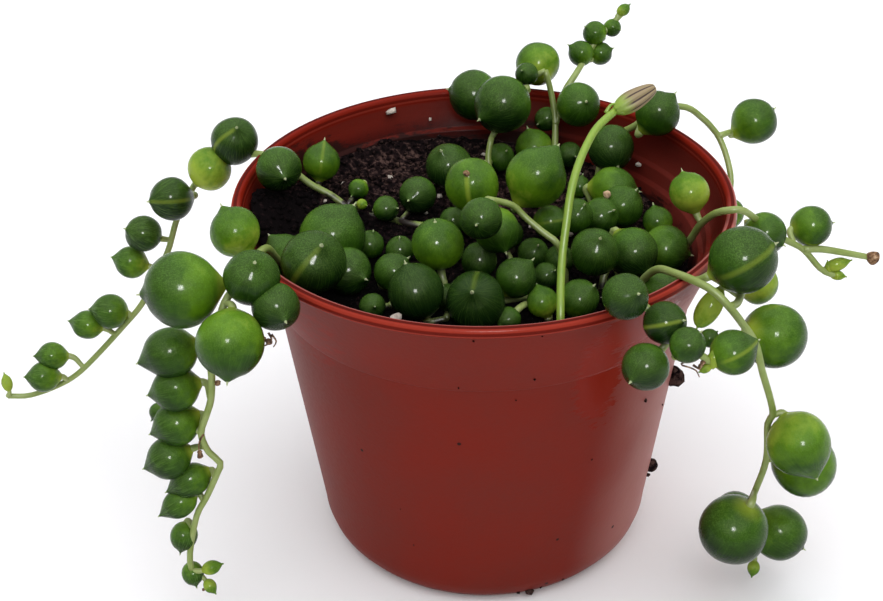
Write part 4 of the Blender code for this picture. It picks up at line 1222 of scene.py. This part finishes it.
def damp_peat(settings):
    """Potting peat: matte black-brown fibre, paler and redder where it has dried."""
    material, tree, shader = new_material("damp_peat")
    place = place_in_mm(tree)
    grain = {"Vector": place, "Scale": 1 / 0.9, "Detail": 5.0, "Roughness": 0.7}
    grain = add_node(tree, "ShaderNodeTexNoise", grain)[0]
    patches = {"Vector": place, "Scale": 1 / 5, "Detail": 2.0}
    patches = add_node(tree, "ShaderNodeTexNoise", patches)[0]
    share = add_node(tree, "ShaderNodeMath", [grain, 1.3, -0.325], operation="MULTIPLY_ADD")[0]
    share = add_node(tree, "ShaderNodeMath", [patches, 0.35, share], operation="MULTIPLY_ADD")[0]
    x, y, z = add_node(tree, "ShaderNodeSeparateXYZ", [place])
    # Painted shade: it is darker along the left and at the front under the leaves. The crumbs on
    # the pot's wall and foot have dried.
    for edge in ((x, -26, -8, -0.06, 0.0), (y, 0, 14, -0.14, 0.02), (z, 40, 36, 0.0, 0.22)):
        terms = [share, faded(tree, edge)]
        share = add_node(tree, "ShaderNodeMath", terms, operation="ADD")[0]
    stops = [(0.38, settings.dark), (0.54, linear("#1C1112")), (0.72, settings.light)]
    inputs = {
        "Base Color": add_node(tree, "ShaderNodeValToRGB", [share], stops)[0],
        "Normal": add_node(tree, "ShaderNodeBump", {"Height": grain, "Distance": 0.25 * MM})[0],
        "Roughness": 0.9,
        "IOR": 1.4,
        "Specular IOR Level": 0.05,
    }
    fill_inputs(tree, shader, inputs)
    return material


def expanded_perlite(settings):
    """Expanded perlite: light, chalky, off-white grains stained by the peat."""
    material, tree, shader = new_material("expanded_perlite")
    stain = {"Vector": place_in_mm(tree), "Scale": 1 / 0.7, "Detail": 3.0}
    stain = add_node(tree, "ShaderNodeTexNoise", stain)[0]
    stained = faded(tree, (stain, 0.4, 0.7, 0.0, 0.6))
    inputs = {
        "Base Color": laid_over(tree, settings.white, [(stained, linear("#5A4A40"))]),
        "Normal": add_node(tree, "ShaderNodeBump", {"Height": stain, "Distance": 0.1 * MM})[0],
        "Roughness": 0.9,
        "IOR": 1.5,
    }
    fill_inputs(tree, shader, inputs)
    return material


def closed_bracts(settings):
    """The backs of closed bracts: green at the foot, dry tan above, with dark seams."""
    material, tree, shader = new_material("closed_bracts")
    place = add_node(tree, "ShaderNodeAttribute", attribute_name="leaf_place")["Vector"]
    across, aside, along = add_node(tree, "ShaderNodeSeparateXYZ", [place])
    turn = add_node(tree, "ShaderNodeMath", [aside, across], operation="ARCTAN2")[0]
    turn = add_node(tree, "ShaderNodeMath", [turn, BUD_RIBS], operation="MULTIPLY")[0]
    rib = add_node(tree, "ShaderNodeMath", [turn], operation="COSINE")[0]
    layers = [
        (faded(tree, (along, 0.8, 3.0)), settings.bract),
        (faded(tree, (rib, -0.55, -0.95), (along, 1.2, 2.6)), settings.seam),
    ]
    skin = laid_over(tree, settings.stalk, layers)
    fill_inputs(tree, shader, {"Base Color": skin, "Roughness": 0.55, "IOR": 1.4})
    return material


def flower_stalk_skin(settings):
    """The young flower stalk: bright yellow green, smooth, with faint darker lines along it."""
    material, tree, shader = new_material("flower_stalk_skin")
    drawn = {"Vector": place_in_mm(tree), "Scale": (1.0, 0.25, 0.2)}
    drawn = add_node(tree, "ShaderNodeMapping", drawn)[0]
    lines = {"Vector": drawn, "Scale": 1 / 0.3, "Detail": 3.0}
    lines = add_node(tree, "ShaderNodeTexNoise", lines)[0]
    dark = faded(tree, (lines, 0.35, 0.7, 0.0, 0.45))
    bump = {"Height": lines, "Distance": 0.04 * MM, "Strength": 0.5}
    inputs = {
        "Base Color": laid_over(tree, settings.stalk, [(dark, linear("#6E9A33"))]),
        "Normal": add_node(tree, "ShaderNodeBump", bump)[0],
        "Roughness": 0.4,
        "IOR": 1.4,
        "Subsurface Weight": 0.12,
        "Subsurface Radius": (0.6, 1.0, 0.2),
        "Subsurface Scale": 0.6 * MM,
    }
    fill_inputs(tree, shader, inputs)
    return material


def drain_drill():
    """A round pin for each drain hole, right through the pot's floor."""
    shape = bmesh.new()
    for i in range(DRAIN_HOLES):
        turn = Matrix.Rotation(2 * math.pi * (i + 0.5) / DRAIN_HOLES, 4, "Z")
        bmesh.ops.create_cone(
            shape,
            cap_ends=True,
            segments=32,
            radius1=DRAIN_HOLE_RADIUS,
            radius2=DRAIN_HOLE_RADIUS,
            depth=5.0,
            matrix=turn @ Matrix.Translation((DRAIN_RING_RADIUS, 0, 0)),
        )
    return shape


class STRINGOFPEARLS_OT_pot(Operator):
    """Adds the nursery pot with its rolled lip, its collar and its drain holes"""

    bl_idname = "string_of_pearls.pot"
    bl_label = "Pot"

    def execute(self, context):
        settings = context.scene.pot_settings
        shape = bmesh.new()
        turned(shape, POT_INSIDE + POT_LIP + POT_WALL, settings.sides)
        pot = finished("nursery_pot", shape, [moulded_polypropylene(settings)])
        cutter = finished("drain_drill", drain_drill(), [])
        cut = pot.modifiers.new("Drain holes", "BOOLEAN")
        cut.object = cutter
        cut.solver = "MANIFOLD"
        graph = context.evaluated_depsgraph_get()
        mesh = bpy.data.meshes.new_from_object(pot.evaluated_get(graph))
        pot.modifiers.clear()
        pot.data = mesh
        mesh.name = "nursery_pot"
        mesh.shade_smooth()
        mesh.set_sharp_from_angle(angle=math.radians(50))
        bpy.data.objects.remove(cutter, do_unlink=True)
        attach(pot, "root")
        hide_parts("pot")
        return {"FINISHED"}


def scatter_crumbs(shape, places, size, chance):
    """Adds a small uneven lump at each place."""
    for place in places:
        # Some crumbs are nearly twice as wide as the rest.
        width = size * chance.uniform(0.45, 1.25) * (1.7 if chance.random() < 0.08 else 1.0)
        large = width > LARGE_CRUMB
        squash = Matrix.Diagonal((width, width * chance.uniform(0.6, 1.2), width * 0.7, 1))
        turn = Matrix.Rotation(chance.uniform(0, 6.3), 4, "Z") @ Matrix.Rotation(
            chance.uniform(-0.7, 0.7), 4, "X"
        )
        made = bmesh.ops.create_icosphere(
            shape,
            subdivisions=2 if large else 1,
            radius=0.5,
            matrix=Matrix.Translation(place) @ turn @ squash,
        )
        jolt = width * (0.07 if large else 0.16)
        for vertex in made["verts"]:
            vertex.co += Vector([chance.uniform(-jolt, jolt) for _ in range(3)])


def on_soil(x, y, lift=0.0):
    """A point on the soil. The outer ones are spread to follow the pot's slope."""
    height = soil_surface(x, y)
    out = (math.hypot(x, y) / SOIL_EDGE_RADIUS) ** 6
    spread_out = 1 + (soil_reach(height) / SOIL_EDGE_RADIUS - 1) * out
    return Vector((x * spread_out, y * spread_out, height + lift))


def soil_body(rings, sides):
    """The soil from its uneven top down to its plain underside."""
    shape = bmesh.new()
    top = [(SOIL_EDGE_RADIUS * i / rings, SOIL_MIDDLE) for i in range(rings + 1)]
    turned(shape, top + list(SOIL_SIDE), sides)
    for vertex in shape.verts:
        if vertex.co.z > SOIL_MIDDLE - 0.1:
            vertex.co = on_soil(vertex.co.x, vertex.co.y)
    return shape


def random_on_soil(chance, low, high):
    """A random point on the soil, evenly spread over its disc."""
    out = SOIL_EDGE_RADIUS * math.sqrt(chance.random())
    turn = chance.uniform(0, 2 * math.pi)
    return on_soil(out * math.cos(turn), out * math.sin(turn), chance.uniform(low, high))


class STRINGOFPEARLS_OT_soil(Operator):
    """Adds the peat with its clods, its loose crumbs and its perlite grains"""

    bl_idname = "string_of_pearls.soil"
    bl_label = "Soil"

    def execute(self, context):
        settings = context.scene.soil_settings
        chance = random.Random(11)
        peat = damp_peat(settings)
        parts = [finished("peat_soil", soil_body(60, 200), [peat])]
        # The crumbs come in batches, because a bmesh grows slower as it fills.
        for batch in range(CRUMB_BATCHES):
            loose = bmesh.new()
            share = settings.crumbs // CRUMB_BATCHES
            places = [random_on_soil(chance, -0.15, 0.3) for _ in range(share)]
            scatter_crumbs(loose, places, settings.crumb_size / MM, chance)
            parts.append(finished(f"crumbs_{batch}", loose, [peat]))
        soil = joined("peat_soil", parts)
        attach(soil, "root")
        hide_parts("soil")

        white = bmesh.new()
        places = [random_on_soil(chance, 0.1, 0.35) for _ in range(settings.perlite)]
        scatter_crumbs(white, places + PERLITE_PLACES, PERLITE_SIZE, chance)
        grains = finished("perlite_grains", white, [expanded_perlite(settings)])
        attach(grains, "root")
        return {"FINISHED"}


class STRINGOFPEARLS_OT_strands(Operator):
    """Adds every leafy stem with its round leaves"""

    bl_idname = "string_of_pearls.strands"
    bl_label = "Leafy Stems"

    def execute(self, context):
        settings = context.scene.leaf_settings
        leaf_skin = waxy_leaf_skin(settings)
        stem_skin = young_stem_skin(settings)
        for name, strand in STRANDS.items():
            first, *shoots = strand["routes"]
            routes = [stem_route(strand["root"], first), *shoots]
            stems = [smooth_route(route, 1.0) for route in routes]
            parts = []
            for i, stem in enumerate(stems):
                shape = tube(stem, tapering(stem, *STEM_RADII), 12, STEM_TONE)
                parts.append(finished(f"{name}_stem_{i}", shape, [stem_skin]))
            # No leaf hangs on the first stretch, which is in the soil.
            above = [stems[0][6:], *stems[1:]]
            for i, leaf in enumerate(strand["leaves"]):
                parts += add_leaf(name, leaf, above, i, [leaf_skin, stem_skin], settings)
            piece = joined(f"leafy_{name}", parts)
            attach(piece, "root")
            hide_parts(name)
        return {"FINISHED"}


def flower_head(sides):
    """The closed head with its shallow ribs, from its foot to its point."""
    shape = bmesh.new()
    axis = BUD_POINT - BUD_FOOT
    outline = [(radius, 0.0, share * axis.length) for share, radius in BUD_OUTLINE]
    outline = [(max(0.0, point.x), point.z) for point in smooth_route(outline, 0.35)]
    turned(shape, outline, sides)
    bmesh.ops.holes_fill(shape, edges=shape.edges, sides=sides)
    bmesh.ops.recalc_face_normals(shape, faces=shape.faces)
    marked(shape)
    for vertex in shape.verts:
        turn = math.atan2(vertex.co.y, vertex.co.x)
        rib = 1 + 0.07 * math.cos(BUD_RIBS * turn) * min(1.0, vertex.co.z / 2)
        vertex.co.x *= rib
        vertex.co.y *= rib
    place = Matrix.Translation(BUD_FOOT) @ axis.to_track_quat("Z", "Y").to_matrix().to_4x4()
    bmesh.ops.transform(shape, matrix=place, verts=shape.verts)
    return shape


class STRINGOFPEARLS_OT_flower(Operator):
    """Adds the flower stalk with its closed head and its small bracts"""

    bl_idname = "string_of_pearls.flower"
    bl_label = "Flower"

    def execute(self, context):
        settings = context.scene.flower_settings
        skin = flower_stalk_skin(settings)
        route = smooth_route(stem_route(FLOWER_ROOT, FLOWER_ROUTE), 0.8)
        radii = [FLOWER_STALK_RADIUS] * len(route)
        parts = [finished("flower_stalk_skin", tube(route, radii, 16), [skin])]
        axis = (BUD_POINT - BUD_FOOT).normalized()
        for start, sideways, length in SMALL_BRACTS:
            foot = BUD_FOOT + axis * start + sideways * 0.4
            away = [foot, foot + axis * length * 0.5 + sideways * 0.6, foot + axis * length]
            path = smooth_route(away, 0.3)
            bract = tube(path, tapering(path, *BRACT_RADII), 8)
            parts.append(finished("bract", bract, [skin]))
        stalk = joined("flower_stalk_skin", parts)
        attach(stalk, "root")
        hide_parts("flower_stalk")

        bracts = closed_bracts(settings)
        head = finished("closed_flower_head", flower_head(48), [bracts])
        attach(head, "root")
        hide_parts("flower_bud")
        return {"FINISHED"}


def wall_radius(height):
    """The radius of the pot's outer wall at a height."""
    wall = POT_LIP + POT_WALL
    for (upper_radius, upper), (lower_radius, lower) in zip(wall, wall[1:]):
        if lower <= height <= upper and upper > lower:
            return lower_radius + (height - lower) / (upper - lower) * (upper_radius - lower_radius)
    return POT_WALL[0][0]


def withered_lumps():
    """The dry heads and scars: crumpled balls, of which a fresh one is marked in its tint."""
    shape = bmesh.new()
    tint = shape.verts.layers.float_vector.new("leaf_tint")
    for place, width, fresh in WITHERED_HEADS:
        place = Vector(place)
        made = bmesh.ops.create_icosphere(
            shape, subdivisions=3, radius=width / 2, matrix=Matrix.Translation(place)
        )
        for vertex in made["verts"]:
            ripple = noise.noise(vertex.co * 2.2 / width) * 0.3
            vertex.co += (vertex.co - place) * ripple
            vertex[tint] = (fresh, 0.0, 0.0)
    return shape


def crumbs_on_wall():
    """The crumbs of peat stuck to the pot's wall. The wide ones are three crumbs in one place."""
    chance = random.Random(5)
    shape = bmesh.new()
    for angle, height, width in WALL_CRUMBS:
        turn = math.radians(angle)
        out = wall_radius(height) + width * 0.12
        place = (out * math.cos(turn), out * math.sin(turn), height)
        scatter_crumbs(shape, [place] * (3 if width > 0.8 else 1), width, chance)
    return shape


class STRINGOFPEARLS_OT_dry_bits(Operator):
    """Adds the dry flower heads and scars, the dead roots and the crumbs on the pot's wall"""

    bl_idname = "string_of_pearls.dry_bits"
    bl_label = "Dry Bits"

    def execute(self, context):
        settings = context.scene.leaf_settings
        dry = dry_leaf_tissue(settings)
        heads = finished("withered_heads", withered_lumps(), [dry])
        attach(heads, "root")

        roots = []
        for route in DEAD_ROOTS:
            path = smooth_route(route, 0.4)
            root = tube(path, tapering(path, *DEAD_ROOT_RADII), 8)
            roots.append(finished("dead_root", root, [dry]))
        roots = joined("dead_roots", roots)
        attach(roots, "root")

        peat = bpy.data.materials["damp_peat"]
        crumbs = finished("stuck_crumbs", crumbs_on_wall(), [peat])
        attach(crumbs, "root")
        return {"FINISHED"}


def matte_studio_floor(settings):
    """Matte white paint with a faint mottle."""
    material, tree, shader = new_material("matte_studio_floor")
    mottle = {"Vector": place_in_mm(tree), "Scale": 1 / 60, "Detail": 2.0}
    mottle = add_node(tree, "ShaderNodeTexNoise", mottle)[0]
    mottle = add_node(tree, "ShaderNodeMath", [mottle, 0.1], operation="MULTIPLY")[0]
    paint = laid_over(tree, settings.floor, [(mottle, linear("#EEEEEE"))])
    fill_inputs(tree, shader, {"Base Color": paint, "Roughness": 0.9, "IOR": 1.4})
    return material


def add_light(name, place, target, size, power):
    """A square soft light that faces a point, with places and sizes in metres."""
    light = bpy.data.lights.new(name, "AREA")
    light.size = size
    light.energy = power
    lamp = bpy.data.objects.new(name, light)
    lamp.location = place
    lamp.rotation_euler = (Vector(target) - Vector(place)).to_track_quat("-Z", "Y").to_euler()
    bpy.context.scene.collection.objects.link(lamp)
    return lamp


def soft_room(settings):
    """Light from all round: weak from the walls and strong from the ceiling."""
    world = bpy.data.worlds.new("soft_room")
    world.use_nodes = True
    tree = world.node_tree
    direction = add_node(tree, "ShaderNodeTexCoord")["Object"]
    height = add_node(tree, "ShaderNodeSeparateXYZ", [direction])[2]
    strength = faded(tree, (height, 0.25, 0.8, settings.walls, settings.ceiling))
    inputs = {"Color": linear("#FBFCFF"), "Strength": strength}
    fill_inputs(tree, tree.nodes["Background"], inputs)
    return world


def photograph_camera():
    """The camera that sees the plant as the photograph does."""
    camera = bpy.data.objects.new("camera", bpy.data.cameras.new("camera"))
    turn = Matrix((VIEW_RIGHT, VIEW_UP, VIEW_NEAR)).transposed().to_4x4()
    camera.matrix_world = Matrix.Translation(CAMERA_PLACE * MM) @ turn
    camera.data.lens = CAMERA_LENS
    camera.data.sensor_width = SENSOR_WIDTH
    camera.data.clip_start = 1.0 * MM
    bpy.context.scene.collection.objects.link(camera)
    return camera


class STRINGOFPEARLS_OT_stage(Operator):
    """Adds the pale floor, the soft studio light and the camera"""

    bl_idname = "string_of_pearls.stage"
    bl_label = "Stage"

    def execute(self, context):
        settings = context.scene.stage_settings
        scene = context.scene
        scene.view_settings.view_transform = "Standard"
        shape = bmesh.new()
        bmesh.ops.create_grid(shape, x_segments=8, y_segments=8, size=FLOOR_HALF_WIDTH)
        finished("studio_floor", shape, [matte_studio_floor(settings)])
        scene.world = soft_room(settings)
        middle = (0.0, 0.0, 0.04)
        add_light("overhead", (0.1, -0.3, 1.0), middle, 1.5, settings.key)
        # The small window only gives the leaves their glint.
        place = (0.03, -0.42, 0.36)
        window = add_light("window_behind_camera", place, middle, 0.1, settings.window)
        window.visible_diffuse = False
        scene.camera = photograph_camera()
        return {"FINISHED"}


class STRINGOFPEARLS_PT_panel(Panel):
    """Lists the pieces of the potted plant"""

    bl_idname = "STRINGOFPEARLS_PT_panel"
    bl_label = "String of Pearls"
    bl_space_type = "VIEW_3D"
    bl_region_type = "UI"
    bl_category = "String of Pearls"

    def draw(self, context):
        for settings, operator in LAYOUT:
            box = self.layout.box()
            box.operator(operator.bl_idname)
            group = getattr(context.scene, settings)
            for name in group.bl_rna.properties.keys():
                if name not in ("rna_type", "name"):
                    box.prop(group, name)


LAYOUT = (
    ("pot_settings", STRINGOFPEARLS_OT_pot),
    ("soil_settings", STRINGOFPEARLS_OT_soil),
    ("leaf_settings", STRINGOFPEARLS_OT_strands),
    ("flower_settings", STRINGOFPEARLS_OT_flower),
    ("leaf_settings", STRINGOFPEARLS_OT_dry_bits),
    ("stage_settings", STRINGOFPEARLS_OT_stage),
)
GROUPS = {
    "pot_settings": PotSettings,
    "soil_settings": SoilSettings,
    "leaf_settings": LeafSettings,
    "flower_settings": FlowerSettings,
    "stage_settings": StageSettings,
}


def register():
    """Adds the settings, the operators and the panel to Blender."""
    for name, group in GROUPS.items():
        bpy.utils.register_class(group)
        setattr(bpy.types.Scene, name, PointerProperty(type=group))
    for _, operator in LAYOUT:
        bpy.utils.register_class(operator)
    bpy.utils.register_class(STRINGOFPEARLS_PT_panel)


def unregister():
    """Takes them out again."""
    bpy.utils.unregister_class(STRINGOFPEARLS_PT_panel)
    for _, operator in reversed(LAYOUT):
        bpy.utils.unregister_class(operator)
    for name, group in reversed(GROUPS.items()):
        delattr(bpy.types.Scene, name)
        bpy.utils.unregister_class(group)


def main():
    """Dresses the whole plant."""
    register()
    for _, operator in LAYOUT:
        group, name = operator.bl_idname.split(".")
        getattr(getattr(bpy.ops, group), name)()


if __name__ == "__main__":
    main()
